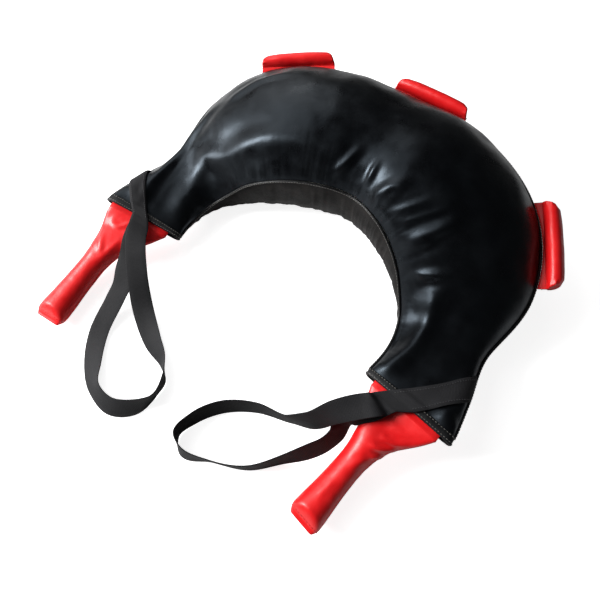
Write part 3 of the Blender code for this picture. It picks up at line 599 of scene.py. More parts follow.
lowerSkin = {
    "lumps": ((0.06, 0.0012), (0.014, 0.0005)),
    "ripples": ((0.021, 0.0018), (0.0095, 0.0010)),  # spacing and depth of the upright wrinkles
    # where they begin across the panel, the share that they take to rise, and their strength
    "rippleBands": ((0.55, 0.2, 1.0), (0.35, -0.2, 0.6)),
    "soleHeights": (0.0002, 0.0012),  # outside and inside, over the floor
}


def stripRow(s, first, last, places):
    # A row across a panel, at even shares of the way between its two seams
    dense = skin(s, np.linspace(first, last, 181))
    reach = runLength(dense)
    return pointsAt(dense, reach, skinShape["edge"] + places * (reach[-1] - 2 * skinShape["edge"]))


def topRow(s, places):
    return stripRow(s, math.pi - seamAngle(s), seamAngle(s), places)


def lowRow(s, places):
    return stripRow(s, seamAngle(s), -math.pi - seamAngle(s), places)


def skinNormals(grid, upwards):
    # Turned out of the bag by the one at the middle of the grid
    normals = unit(np.cross(np.gradient(grid, axis=0), np.gradient(grid, axis=1)))
    return normals * np.sign(normals[grid.shape[0] // 2, grid.shape[1] // 2, 2]) * upwards


def seamWave(size, seed):
    # A line of smooth random values along the seam, one bump for each size in metres
    places = stations * bodyShape["halfLength"] / size
    return np.array([noise.noise(Vector((place, seed * 3.7, 0.5))) for place in places])


stations = np.linspace(-1, 1, skinShape["rows"])
shares = np.linspace(0, 1, skinShape["columns"])
mouthFade = ease((1 - np.abs(stations)) / skinShape["mouthFade"])[:, None]
edgeFade = (ease(shares / skinShape["edgeFade"]) * ease((1 - shares) / skinShape["edgeFade"]))[None]

topGrid = np.array([topRow(s, shares) for s in stations])
topOut = skinNormals(topGrid, 1)
creases = []
for width, high, *line in topSkin["folds"]:
    line = [topRow(s, np.array([share]))[0] for s, share in line]
    creases.append((line, width / 1000, high / 1000))
height = np.maximum(creaseHeight(topGrid, creases), -topSkin["deepest"])
height = uneven(height, topGrid, topSkin["lumps"], 1)
pucker = sum(seamWave(size, k + 1) * part for k, (size, part) in enumerate(topSkin["gatherSizes"]))[:, None]
(innerReach, innerPart), (outerReach, outerPart) = topSkin["gatherReach"]
gathered = innerPart * np.exp(-shares / innerReach) + outerPart * np.exp(-(1 - shares) / outerReach)
height = height + topSkin["gather"] * pucker * gathered[None]
topGrid = topGrid + topOut * (height * mouthFade * edgeFade)[..., None]
topOut = skinNormals(topGrid, 1)
topPiece = shellPiece("topSkin", topGrid, topGrid - topOut * skinShape["wall"], coatedLeather)
standFor(topPiece, "coated_leather", "top_panel", fill=0.85)
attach(topPiece, "bag")

lowGrid = np.array([lowRow(s, shares) for s in stations])
lowOut = skinNormals(lowGrid, -1)
height = uneven(np.zeros(lowGrid.shape[:2]), lowGrid, lowerSkin["lumps"], 5)
band = sum(ease((shares - start) / rise) * part for start, rise, part in lowerSkin["rippleBands"])[None]
for k, (size, depth) in enumerate(lowerSkin["ripples"]):
    height = height + seamWave(size, k + 9)[:, None] * depth * band
lowGrid = lowGrid + lowOut * (height * mouthFade * edgeFade)[..., None]
lowGrid[..., 2] = np.maximum(lowGrid[..., 2], lowerSkin["soleHeights"][0])
lowInside = lowGrid - lowOut * skinShape["wall"]
lowInside[..., 2] = np.maximum(lowInside[..., 2], lowerSkin["soleHeights"][1])
lowPiece = shellPiece("lowerSkin", lowGrid, lowInside, grainedLeather)
standFor(lowPiece, "grained_leather", "bottom_panel", fill=0.85)
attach(lowPiece, "bag")
print("skins made")


# Piping and seams
piping = {
    "radius": 0.0021,
    "lift": 0.0010,
    "threadGap": 0.0001,
    "sides": 10,
    "stop": 0.0080,  # back from the mouth, under the hem
    "rows": (("outer", 0, -1, "Black"), ("inner", -1, 0, "Grey")),  # edges of the lower and top skins, thread; the inner row's grey thread is partly a painted highlight along the seam's edge
}
seamStitches = {"Pitch": 0.0042, "Stitch Length": 0.0036, "Thread Radius": 0.00032, "Slant": 0.0, "Seed": 3}

kept = np.abs(stations) <= 1 - piping["stop"] / bodyShape["halfLength"]
for label, lowEdge, topEdge, thread in piping["rows"]:
    line = (lowGrid[kept, lowEdge] + topGrid[kept, topEdge]) / 2
    proud = unit(lowOut[kept, lowEdge] + topOut[kept, topEdge])
    line = line + proud * piping["lift"]
    welt = loftPiece(label + "Welt", tubeRings(line, piping["radius"], piping["sides"]), pipingLeather)
    standFor(welt, "piping", label + "_welt")
    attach(welt, "bag")
    # The row of thread that shows just above the piping. On the inner seam its grey is real thread and also a painted
    # highlight along the seam's edge
    sewn = line + unit(topOut[kept, topEdge] + proud) * (piping["radius"] + piping["threadGap"])
    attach(stitchPiece(label + "WeltStitches", [sewn], thread, seamStitches), "bag")
print("piping made")


# Stitched hems round the mouths
hem = {
    "ring": 150,
    # place back from the mouth and height over the skin, mm: over the edge and in again
    "profile": (
        (10.2, 0.2), (9.8, 1.3), (8.4, 1.9), (5.0, 1.6), (2.2, 2.0), (0.7, 1.7), (-0.3, 0.8),
        (-0.5, -0.4), (0.2, -1.5), (1.5, -1.9), (6.0, -1.95), (6.0, -1.6), (1.0, -1.2), (1.0, 0.1),
    ),
    "rows": (2.0, 8.2),  # the two rows of stitches, mm back from the mouth
    "stitchHeight": 0.0021,
    "ripple": 0.00035,
    "ripples": 37,
    "rippleOver": 0.5,  # height in mm from which the folded edge is uneven
    "step": 0.004,  # between the two rings that give the skin's direction
}
hemStitches = {"Pitch": 0.0040, "Stitch Length": 0.0027, "Thread Radius": 0.0004, "Slant": 0.12}


def sectionRing(s, count):
    # Points spread evenly round the body's section
    dense = skin(s, np.linspace(0, 2 * math.pi, 721))
    reach = runLength(dense)
    return pointsAt(dense, reach, np.arange(count) / count * reach[-1])


def ringOutward(ring, further):
    around = np.roll(ring, -1, axis=0) - np.roll(ring, 1, axis=0)
    outward = unit(np.cross(around, further - ring))
    inwards = np.mean(np.sum(outward * (ring - ring.mean(axis=0)), axis=1)) < 0
    return -outward if inwards else outward


def offsetRing(side, back, lift, count):
    # A ring round the body, back metres from the mouth and lift metres over the skin
    ring, further = (
        sectionRing(side * (1 - place / bodyShape["halfLength"]), count)
        for place in (max(back, 0), max(back, 0) + hem["step"])
    )
    ahead = unit(np.mean(ring - further, axis=0)) * max(-back, 0)
    return ring + ringOutward(ring, further) * lift + ahead


for label, side in bothSides:
    rings = []
    for back, lift in hem["profile"]:
        ring = offsetRing(side, back / 1000, lift / 1000, hem["ring"])
        wave = np.sin(ringTurns(hem["ring"]) * hem["ripples"] + back)
        push = hem["ripple"] * wave * (lift > hem["rippleOver"])
        rings.append(pushOut(ring, ring.mean(axis=0), push))
    piece = meshPiece(label + "Hem", rings, ringFaces(len(rings), hem["ring"], True), pipingLeather)
    standFor(piece, "coated_leather", label + "_mouth_hem")
    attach(piece, "bag")
    rows = []
    for back in hem["rows"]:
        ring = offsetRing(side, back / 1000, hem["stitchHeight"], hem["ring"] * 2)
        rows.append([*ring, ring[0]])
    thread = stitchPiece(label + "HemStitches", rows, "Grey", {**hemStitches, "Seed": 5 + side})
    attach(thread, "bag")
print("hems made")


# Handles
handleShape = {
    "hingeOffset": 0.0075,
    "flareHalfWidth": 0.050,
    "flareHalfThickness": 0.0046,
    "flareShares": (0.46, 0.50),  # left, right: where the handle leaves the mouth
    "reach": (0.179, 0.169),
    "halfWidth": (0.0235, 0.0215),
    "halfHeight": (0.019, 0.0195),
    "pathShares": (0.0, 0.2, 0.4, 0.65, 1.0),
    "sidesteps": ((0.0, 0.115, 0.172, 0.212, 0.24), (0.0, -0.035, -0.048, -0.055, -0.058)),
    "drops": (1.0, 0.62, 0.33, 0.10, 0.0),
    "flareSteps": (0.0, 0.06, 0.14, 0.22, 0.30, 1.0),
    "flareSizes": (1.0, 0.80, 0.46, 0.18, 0.03, 0.0),
    "tipCorner": (0.010, 0.17),  # length of the rounded corners, and how much narrower they leave the end
    "tipHalfThickness": 0.006,
    "flatness": 0.45,
    "pinchStart": 0.90,
    "floorClearance": 0.0005,
}


def mouthFrame(side):
    # The middle of a mouth, and the directions out of it, across it and up
    which = 0 if side < 0 else 1
    turn = spineTurn[0 if side < 0 else -1]
    away = side * np.array([math.cos(turn), -math.sin(turn), 0])
    outward = unit([math.sin(turn), math.cos(turn), math.sin(bodyShape["mouthRolls"][which])])
    up = unit(np.cross(away, outward))
    share = handleShape["flareShares"][which]
    middle = skin(side, 0) * (1 - share) + skin(side, math.pi) * share
    return which, middle, away, outward, up if up[2] > 0 else -up


def roundedSection(centre, side, up, halfWidth, halfHeight, power, count):
    # A rounded oblong, with its points spread evenly round it
    turns = np.linspace(0, 2 * math.pi, 361)
    sizes = ((np.cos(turns), halfWidth), (np.sin(turns), halfHeight))
    flat = np.stack([squared(wave, power) * half for wave, half in sizes], -1)
    reach = runLength(flat)
    flat = pointsAt(flat, reach, (np.arange(count) + 0.5) / count * reach[-1])
    return centre + flat[:, :1] * side + flat[:, 1:] * up, flat


def handleRings(side, cuts, count, inset=0.0):
    # Rings of the padded tube at the given shares of its reach, from the hinge to the tip
    which, middle, away, outward, up = mouthFrame(side)
    look = handleShape
    hinge = middle + away * look["hingeOffset"]
    level = unit([outward[0], outward[1], 0])
    bare, halfHeight = look["halfWidth"][which], look["halfHeight"][which]
    rest = halfHeight + look["floorClearance"]
    reach = look["reach"][which]
    line = hinge + (cuts * reach)[:, None] * away
    line = line + (smooth(look["pathShares"], look["sidesteps"][which], cuts) * reach)[:, None] * level
    line[:, 2] = rest + (hinge[2] - rest) * smooth(look["pathShares"], look["drops"], cuts)
    heading = unit(np.gradient(line, axis=0))
    heading[0] = away
    widths = bare + (look["flareHalfWidth"] - bare) * smooth(look["flareSteps"], look["flareSizes"], cuts)
    thin = look["flareHalfThickness"]
    rounder = ease(cuts / look["flareSteps"][-2])
    heights = thin + (halfHeight - thin) * rounder
    corner = np.clip(1 - (1 - cuts) * reach / look["tipCorner"][0], 0, 1)
    widths = widths * (1 - look["tipCorner"][1] * corner**2)
    pinch = ease(beyond(look["pinchStart"], cuts))
    heights = heights + (look["tipHalfThickness"] - heights) * pinch
    powers = 1 - look["flatness"] * np.maximum(1 - rounder, pinch)
    rings, flats = [], []
    for k in range(len(cuts)):
        ahead = unit(away * (1 - rounder[k]) + heading[k] * rounder[k])
        across = unit(outward * (1 - rounder[k]) + level * rounder[k])
        across = unit(across - ahead * np.dot(across, ahead))
        rise = unit(np.cross(ahead, across))
        rise = rise if rise[2] > 0 else -rise
        ring, flat = roundedSection(line[k], across, rise, widths[k] - inset, heights[k] - inset, powers[k], count)
        rings.append(ring)
        flats.append(flat)
    return np.array(rings), np.array(flats), line


handleCover = {
    "around": 64,
    "rows": 120,
    "crowding": 1.15,  # more rows near the mouth, where the cover is creased
    "lip": 0.009,  # the stitched flat end
    "lipHalfThickness": 0.0032,
    "stitchBack": 0.006,
    "fades": (0.006, 0.012),  # lengths over which creases fade out, at the hinge and at the tip
    "lumps": ((0.03, 0.0007), (0.009, 0.0002)),
    # the part inside the mouth: metres ahead of the mouth, share of the flare's width
    "root": ((-0.036, 0.72), (-0.026, 0.82), (-0.014, 0.93), (-0.004, 1.0), (0.002, 1.0), (0.005, 1.0)),
    "rootThickness": 0.87,
    "tip": ((0.97, 0.0010), (0.88, 0.0016)),  # size, metres beyond the last row
    "tipFlatness": 0.9,
    "bend": (-0.001, 0.010),  # two places ahead of the mouth, metres
    "coreInset": 0.0027,
    "coreCuts": (0.03, 0.94, 40),
    "coreAround": 32,
    # creases on the upper side: points (metres from the hinge, metres across), half width, height
    "creases": (
        (
            (((0.010, 0.030), (0.020, 0.020), (0.020, 0.008), (0.008, 0.004)), 0.0035, 0.0020),
            (((0.034, 0.022), (0.048, 0.006), (0.060, -0.006)), 0.004, 0.0016),
            (((0.004, 0.042), (0.026, 0.034), (0.044, 0.026)), 0.003, 0.0012),
            (((0.030, -0.012), (0.046, -0.014), (0.070, -0.012)), 0.004, 0.0010),
            (((0.012, -0.028), (0.030, -0.022)), 0.004, 0.0014),
        ),
        (
            (((0.022, 0.030), (0.030, 0.018), (0.034, 0.006)), 0.003, 0.0020),
            (((0.034, 0.026), (0.043, 0.014), (0.047, 0.004)), 0.003, 0.0020),
            (((0.050, 0.022), (0.058, 0.012)), 0.003, 0.0014),
            (((0.004, 0.034), (0.016, 0.020), (0.020, 0.004)), 0.004, 0.0015),
            (((0.066, 0.008), (0.085, 0.003)), 0.004, 0.0009),
            (((0.110, -0.002), (0.135, -0.004)), 0.004, 0.0008),
        ),
    ),
}
handleStitches = {"Pitch": 0.0042, "Stitch Length": 0.0032, "Thread Radius": 0.0004, "Slant": 0.0, "Seed": 9}

for label, side in bothSides:
    which, middle, away, outward, up = mouthFrame(side)
    look = handleCover
    reach = handleShape["reach"][which]
    cuts = np.linspace(0, 1, look["rows"]) ** look["crowding"]
    rings, flats, line = handleRings(side, cuts, look["around"])
    # Creases, loose stuffing and the flat stitched end
    along, toTip = (cuts * reach)[:, None], ((1 - cuts) * reach)[:, None]
    height = creaseHeight(spread(along, flats[..., 0]), look["creases"][which]) * (flats[..., 1] > 0)
    height = uneven(height, rings, look["lumps"], 20 + side)
    fade = ease(along / look["fades"][0]) * ease(toTip / look["fades"][1])
    rings = pushOut(rings, line[:, None], height * fade)
    lip = ease(1 - toTip[..., None] / look["lip"])
    squeeze = 1 - lip * (1 - look["lipHalfThickness"] / handleShape["tipHalfThickness"])
    rings[..., 2:] = line[:, None, 2:] + (rings[..., 2:] - line[:, None, 2:]) * squeeze
    # The part inside the mouth, then the round end of the lip
    root = []
    for ahead, size in look["root"]:
        halfWidth = handleShape["flareHalfWidth"] * size
        halfHeight = handleShape["flareHalfThickness"] * look["rootThickness"]
        power = 1 - handleShape["flatness"]
        root.append(roundedSection(middle + away * ahead, outward, up, halfWidth, halfHeight, power, look["around"])[0])
    tip = []
    for size, push in look["tip"]:
        shrunk = (rings[-1] - line[-1]) * np.array([size, size, size * look["tipFlatness"]])
        tip.append(line[-1] + shrunk + unit(line[-1] - line[-2]) * push)
    cover = loftPiece(label + "HandleCover", [*root, *rings, *tip], redLeather)
    handleNodes = [label + "_handle_" + part for part in ("cover", "end", "root")]
    standFor(cover, "red_leather", *handleNodes, fill=0.8)
    start, end = (tuple(middle + away * ahead) for ahead in look["bend"])
    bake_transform(cover)
    # Stitches across the flat end
    row = int(np.searchsorted(cuts, 1 - look["stitchBack"] / reach))
    half = look["around"] // 2
    for part, name in ((slice(1, half - 1), "Top"), (slice(half + 1, look["around"] - 1), "Bottom")):
        seam = pushOut(rings[row, part], line[row], stitchLift)
        sewn = stitchPiece(label + "HandleStitches" + name, [seam], "Red", handleStitches)
        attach(sewn, label + "_handle")
    core = handleRings(side, np.linspace(*look["coreCuts"]), look["coreAround"], look["coreInset"])[0]
    foam = loftPiece(label + "HandleCore", core, wadding)
    standFor(foam, "padding", label + "_handle_core", fill=0.9)
    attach(foam, label + "_handle")
print("handles made")


# Wrist straps
strapShape = {
    "width": 0.030,
    "thickness": 0.0015,
    "length": 0.620,
    "lead": 0.006,
    "hingeLift": 0.0024,  # over the mouth and the webbing below it
    "shifts": (0.0, -0.0125),  # of the loop along its hinge, so that it goes on in line with the band
    "slantLength": 0.045,  # the loops leave the hinge aslant, as the band comes in
    "turnLength": 0.010,  # in which their face turns from the hinge's to the route's
    "flatShare": 0.25,
    "legGap": 0.001,
    "floorClearance": 0.0005,
    "rows": 300,
    # half of its section: shares of the half width and half thickness
    "profile": ((-1, 0), (-0.985, -0.8), (-0.94, -1), (-0.5, -1), (0, -1), (0.5, -1), (0.94, -1), (0.985, -0.8)),
    # ahead of the mouth and to its outer side in strap lengths, and height in mouth heights
    "routes": (
        (
            (0.020, -0.012, 1.30), (0.055, -0.030, 1.18), (0.084, -0.047, 1.10), (0.118, -0.068, 0.88),
            (0.186, -0.119, 0.34), (0.237, -0.176, 0.19), (0.270, -0.228, 0.25), (0.304, -0.253, 0.30),
            (0.339, -0.253, 0.30), (0.378, -0.226, 0.25), (0.399, -0.177, 0.23), (0.384, -0.124, 0.20),
            (0.344, -0.085, 0.13), (0.274, -0.048, 0.11), (0.193, -0.046, 0.42), (0.156, -0.045, 0.58),
            (0.121, -0.033, 0.72), (0.090, -0.028, 0.90), (0.059, -0.020, 1.07), (0.020, -0.012, 1.20),
        ),
        (
            (0.020, -0.013, 1.20), (0.042, -0.048, 1.20), (0.064, -0.066, 1.16), (0.103, -0.095, 1.03),
            (0.143, -0.122, 0.66), (0.170, -0.162, 0.31), (0.203, -0.232, 0.24), (0.259, -0.289, 0.23),
            (0.310, -0.311, 0.24), (0.355, -0.313, 0.25), (0.369, -0.286, 0.24), (0.339, -0.223, 0.25),
            (0.292, -0.157, 0.25), (0.236, -0.120, 0.25), (0.185, -0.089, 0.34), (0.155, -0.075, 0.40),
            (0.127, -0.070, 0.46), (0.097, -0.076, 0.70), (0.068, -0.062, 0.96), (0.047, -0.047, 1.04),
            (0.020, -0.013, 1.10),
        ),
    ),
    # how far the webbing's face is turned at each point of its route, degrees
    "leans": (
        (196, 190, 182, 180, 180, 152, 115, 93, 98, 63, 50, 50, 24, 3, 0, 0, 0, -5, -10, -16),
        (-184, -184, -176, -150, -118, -95, -104, -110, -106, -94, -77,
         -92, -86, -77, -61, -60, -56, -45, -18, -2, 0),
    ),
}
bandShape = {
    "mouthShares": ((0.37, 0.59), (0.41, 0.72)),  # where the band crosses the mouth, from outer to inner seam
    "seamStations": ((0.913, 0.84), (0.88, 0.80)),  # where it is sewn into the outer seam
    "edgeShare": 0.035,
    "lift": 0.0012,
    "overHem": 0.0026,
    "hemLength": 0.010,
    "hemFade": 0.006,
    "tuckStart": 0.93,  # from here it sinks under the piping
    "tuckDepth": 0.6,  # shares of its thickness below the skin
    "edgeRounding": 0.6,
    "thickness": 0.0034,
    "tailThickness": 0.0034,
    "tailRows": 7,  # from the hinge back to the mouth
    "rows": 46,
    "across": 16,
    "bend": (0.0005, 0.010),  # two places ahead of the mouth, metres
}
strapStitches = {"Pitch": 0.0034, "Stitch Length": 0.0026, "Thread Radius": 0.00035, "Slant": 0.0, "Seed": 21}


def strapLine(side):
    which, middle, away, outward, up = mouthFrame(side)
    look = strapShape
    level = unit([outward[0], outward[1], 0])
    route, leans = look["routes"][which], look["leans"][which]
    hinge = middle + away * (handleShape["hingeOffset"] + look["lead"])
    hinge = hinge + outward * (route[0][1] * look["length"] + look["shifts"][which])
    hinge = hinge + up * (bodyShape["mouthHalfThickness"] + look["hingeLift"] + look["thickness"])
    knots = []
    for (ahead, sideways, lift), lean in zip(route, leans):
        spot = middle + (away * ahead + level * sideways) * look["length"]
        knots.append([spot[0], spot[1], bodyShape["mouthHeights"][which] * lift, lean])
    # Both ends lie on the hinge, one over the other, and leave towards their next point
    ends = []
    for sign, lean, spot in ((1, leans[0], knots[1]), (-1, leans[-1], knots[-2])):
        start = hinge + up * (look["thickness"] + look["legGap"]) / 2 * sign
        toward = unit([spot[0] - start[0], spot[1] - start[1], 0])
        ends.append([*start, lean])
        ends.append([*(start + toward * look["width"] * look["flatShare"]), lean])
    knots = np.array([ends[0], ends[1], *knots[1:-1], ends[3], ends[2]])
    reach = runLength(knots[:, :3])
    places = np.linspace(0, reach[-1], look["rows"])
    path = np.stack([smooth(reach, knots[:, k], places) for k in range(4)], -1)
    line, lean = path[:, :3], np.radians(path[:, 3])
    halfRise = np.abs(np.sin(lean)) * look["width"] / 2 + np.abs(np.cos(lean)) * look["thickness"] / 2
    line[:, 2] = np.maximum(line[:, 2], halfRise + look["floorClearance"])
    return line, lean, places, hinge


def ribbonRings(line, across, face, width, thickness):
    # A flat webbing with rounded edges, and how far round it each point is
    profile = strapShape["profile"] + tuple((-x, -y) for x, y in strapShape["profile"])
    rings = [line + across * (x * width / 2) + face * (y * thickness / 2) for x, y in profile]
    around = [(x + 1) * width / 2 + (0 if y <= 0 else width) for x, y in profile]
    return np.stack(rings, axis=1), np.array(around)


def bandPoint(side, s, share, lift):
    # A point over the top skin, at a share of the way from its outer to its inner seam
    row = (side * min(s, 1.0) + 1) / 2 * (skinShape["rows"] - 1)
    i = int(np.clip(math.floor(row), 0, skinShape["rows"] - 2))
    column = (1 - share) * (skinShape["columns"] - 1)
    j = int(np.clip(math.floor(column), 0, skinShape["columns"] - 2))
    a, b = row - i, column - j
    spot, out = (
        (grid[i, j] * (1 - b) + grid[i, j + 1] * b) * (1 - a) + (grid[i + 1, j] * (1 - b) + grid[i + 1, j + 1] * b) * a
        for grid in (topGrid, topOut)
    )
    return spot + unit(out) * lift


for label, side in bothSides:
    which, middle, away, outward, up = mouthFrame(side)
    # The loop
    line, lean, places, hinge = strapLine(side)
    heading = unit(np.gradient(line, axis=0))
    level = unit(np.stack([heading[:, 1], -heading[:, 0], heading[:, 0] * 0], -1))
    across = level * np.cos(lean)[:, None] + np.array([0, 0, 1]) * np.sin(lean)[:, None]
    start, end = (outward * np.sign(np.dot(across[n], outward)) for n in (0, -1))
    near = ease(1 - places / strapShape["turnLength"])[:, None]
    far = ease(1 - (places[-1] - places) / strapShape["turnLength"])[:, None]
    across = unit(across * (1 - near) * (1 - far) + start * near + end * far)
    across = unit(across - heading * np.sum(across * heading, axis=1)[:, None])
    face = unit(np.cross(heading, across))
    for n, distance in ((0, places), (-1, places[-1] - places)):
        slope = np.dot(outward, heading[n]) / np.dot(outward, across[n])
        across = across + heading * (slope * ease(1 - distance / strapShape["slantLength"]))[:, None]
    cutWidth = strapShape["width"] * np.linalg.norm(across[0])
    rings, around = ribbonRings(line, across, face, strapShape["width"], strapShape["thickness"])
    loop = loftPiece(label + "StrapLoop", rings, webbing, spread(places[:, None], around[None]), 60)
    standFor(loop, "webbing", label + "_strap_loop")
    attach(loop, label + "_strap")
    # The band on the skin, over the hem and on to the loop's hinge
    look = bandShape
    first, last = look["mouthShares"][which]
    nearSeam, farSeam = look["seamStations"][which]
    parts = np.linspace(0, 1, look["across"])
    mouthEdge = bandPoint(side, 1.0, first, 0) - bandPoint(side, 1.0, last, 0)
    sign = 1 if np.dot(mouthEdge, outward) > 0 else -1
    low, high = [], []
    for rows, thick, half in ((low, 0, -1), (high, look["thickness"], 1)):
        for n in range(look["tailRows"]):
            row, part = [], n / look["tailRows"]
            for share in parts:
                mouth = bandPoint(side, 1.0, first + (last - first) * share, look["overHem"] + thick)
                out = hinge + outward * cutWidth / 2 * (1 - 2 * share) * sign + up * look["tailThickness"] / 2 * half
                row.append(out * (1 - part) + mouth * part)
            rows.append(row)
        for step in np.linspace(0, 1, look["rows"]):
            row = []
            for part in parts:
                s = (1 - step) + step * (nearSeam + (farSeam - nearSeam) * part)
                share = (1 - step) * (first + (last - first) * part) + step * look["edgeShare"]
                back = (1 - s) * bodyShape["halfLength"] - look["hemLength"]
                lift = look["overHem"] + (look["lift"] - look["overHem"]) * ease(back / look["hemFade"])
                tuck = ease(beyond(look["tuckStart"], step))
                lift = lift - (lift + look["thickness"] * look["tuckDepth"]) * tuck
                row.append(bandPoint(side, s, share, lift + thick))
            rows.append(row)
    low, high = np.array(low), np.array(high)
    for edge in (0, -1):
        middleEdge = (low[:, edge] + high[:, edge]) / 2
        for rows in (low, high):
            rows[:, edge] = middleEdge * look["edgeRounding"] + rows[:, edge] * (1 - look["edgeRounding"])
    reach = runLength(high[:, look["across"] // 2])
    uv = spread(reach[:, None], parts[None] * strapShape["width"])
    band = shellPiece(label + "StrapBand", high, low, webbing, uv)
    standFor(band, "webbing", label + "_strap_band", label + "_strap_anchor")
    start, end = (tuple(middle + away * ahead) for ahead in look["bend"])
    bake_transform(band)
    # Rows of stitches along both edges of the band
    sewn = slice(look["tailRows"] + 2, -3)
    rows = []
    for column in (2, look["across"] - 3):
        rows.append(pushOut(high[sewn, column], low[sewn, column], stitchLift))
    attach(stitchPiece(label + "BandStitches", rows, "Black", strapStitches), "bag")
print("straps made")


# Rolled grips on the outer seam
gripShape = {
    "halfLength": 0.064,
    "halfHeight": 0.018,
    "halfDepth": 0.012,
    "rollReach": 0.018,  # from the seam to the middle of the roll
    "noseLift": 0.0052,  # the piping under the nose
    "bow": 0.001,
    "endDrop": 0.18,
    "pointShare": 0.15,
    "slant": 0.42,
    "cornerStart": 0.84,
    "cornerDepth": 0.005,
    "places": (("left", -0.146, 0.0015), ("middle", 0.016, 0.0), ("right", 0.202, 0.0)),
    "around": 48,
    "rows": 64,
    "endStep": 0.002,
    "lumps": ((0.02, 0.0005), (0.008, 0.0002)),
    "endFold": 0.0007,  # depth of the gathered folds at each end
    "endFolds": 9,
    "foldStart": 0.86,
    "foldTurn": 0.7,  # radians
    # the tucked-in ends: share of the last row's size, metres beyond it
    "cap": ((0.97, 0.0010), (0.90, 0.0020), (0.78, 0.0026), (0.60, 0.0024), (0.35, 0.0014), (0.12, 0.0008)),
    "coreInset": 0.0028,
    "coreHalfLength": 0.052,
    "coreRows": 20,
    "coreAround": 24,
}
footShape = {
    "halfThickness": 0.002,
    "overlap": 0.0045,  # how far the feet go into the roll
    "seamGap": 0.0032,
    "rows": 18,
    "around": 20,
    "squareness": 0.5,
    "bendStart": 0.3,  # a share of the bulge
}
gripStitches = {"Pitch": 0.0040, "Stitch Length": 0.0030, "Thread Radius": 0.00038, "Slant": 0.0, "Seed": 31}


def gripFrame(place):
    s = place / bodyShape["halfLength"]
    step = 1 / 181
    stretch = np.linalg.norm(seamPoint(s + step) - seamPoint(s - step)) / (2 * step)
    span = gripShape["halfLength"] / stretch
    first, last = seamPoint(s - span), seamPoint(s + span)
    along, middle = unit(last - first), (first + last) / 2
    normal = np.cross(along, skin(s, seamAngle(s) + step) - skin(s, seamAngle(s) - step))
    normal = normal if np.dot(normal, seamPoint(s) - middle) > 0 else -normal
    proud = unit(normal - along * np.dot(normal, along))
    up = unit(np.cross(along, proud))
    bulge = np.dot(seamPoint(s) - middle, proud)
    return s, span, middle, along, proud, up if up[2] > 0 else -up, bulge


def gripRing(x, lean, inset, placed, count):
    s, span, middle, along, proud, up, bulge = placed
    look = gripShape
    nose = bulge + look["noseLift"]
    part = min(abs(x) / look["halfLength"], 1)
    centre = bulge + look["rollReach"] - look["bow"] * part * part + lean * (x / look["halfLength"] - 1)
    halfHeight = look["halfHeight"] * (1 - look["endDrop"] * ease(part * part)) - inset
    inner = centre - nose - inset * 2
    outer = look["halfDepth"] * (1 - look["endDrop"] / 2 * ease(part * part)) - inset
    outer = outer - look["cornerDepth"] * max(beyond(look["cornerStart"], part), 0) ** 2
    angles = ringTurns(count)
    power = np.where(np.cos(angles) < 0, 1 + look["pointShare"], 1)
    reach = centre + np.cos(angles) * np.where(np.cos(angles) > 0, outer, inner)
    rise = squared(np.sin(angles), power) * halfHeight
    slant = look["slant"] * part**3 * (reach - nose) * (1 if x > 0 else -1)
    ring = middle + (x - slant)[:, None] * along + reach[:, None] * proud + rise[:, None] * up
    return ring, middle + along * x + proud * centre


for label, place, gripLean in gripShape["places"]:
    placed = gripFrame(place)
    s, span, middle, along, proud, up, bulge = placed
    look = gripShape
    bodyName = label + "_grip"
    crowded = np.sin(np.linspace(-1, 1, look["rows"]) * math.pi / 2)  # closer rows at the ends
    places = crowded * (look["halfLength"] - look["endStep"])
    rows = [gripRing(x, gripLean, 0.0, placed, look["around"]) for x in places]
    rings, centres = np.array([ring for ring, centre in rows]), np.array([centre for ring, centre in rows])
    height = uneven(np.zeros(rings.shape[:2]), rings, look["lumps"], 40)
    gathered = ease(beyond(look["foldStart"], np.abs(crowded)))[:, None]
    folds = np.sin(ringTurns(look["around"]) * look["endFolds"] + look["foldTurn"])[None]
    height = height + gathered * look["endFold"] * folds
    rings = pushOut(rings, centres[:, None], height)
    caps = []
    for sign, ring in ((-1, rings[0]), (1, rings[-1])):
        hub = ring.mean(axis=0)
        caps.append([hub + (ring - hub) * size + along * sign * push for size, push in look["cap"]])
    cover = loftPiece(label + "GripCover", [*caps[0][::-1], *rings, *caps[1]], redLeather)
    standFor(cover, "red_leather", bodyName + "_cover", fill=0.75)
    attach(cover, bodyName)
    cuts = np.linspace(-look["coreHalfLength"], look["coreHalfLength"], look["coreRows"])
    core = [gripRing(x, gripLean, look["coreInset"], placed, look["coreAround"])[0] for x in cuts]
    foam = loftPiece(label + "GripCore", core, wadding)
    standFor(foam, "padding", bodyName + "_core", fill=0.9)
    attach(foam, bodyName)
    # The two sewn feet between the roll and the seam
    nose = bulge + look["noseLift"]
    for endName, side in bothSides:
        rows = []
        for part in np.linspace(0, 1, footShape["rows"]):
            seam = seamPoint(s + side * span * part) - middle
            x, low, shift = (np.dot(seam, axis) for axis in (along, proud, up))
            low, high = low + footShape["seamGap"], nose + footShape["overlap"]
            centre = middle + along * x + proud * (low + high) / 2 + up * shift / 2
            lean = unit(proud * (high - low) - up * shift)
            sizes = footShape["halfThickness"], (high - low) / 2, footShape["squareness"], footShape["around"]
            rows.append(roundedSection(centre, up, lean, *sizes)[0])
        name = label + "Grip" + endName.capitalize()
        foot = loftPiece(name + "Foot", rows, redLeather)
        standFor(foot, "red_leather", bodyName + "_" + endName + "_tab")
        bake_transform(foot)
        seams = []
        for column in (0, footShape["around"] // 2):
            seams.append([(row[column] + row[column + 1]) / 2 for row in rows])
        sewn = stitchPiece(name + "Stitches", seams, "Red", gripStitches)
        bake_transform(sewn)
print("grips made")


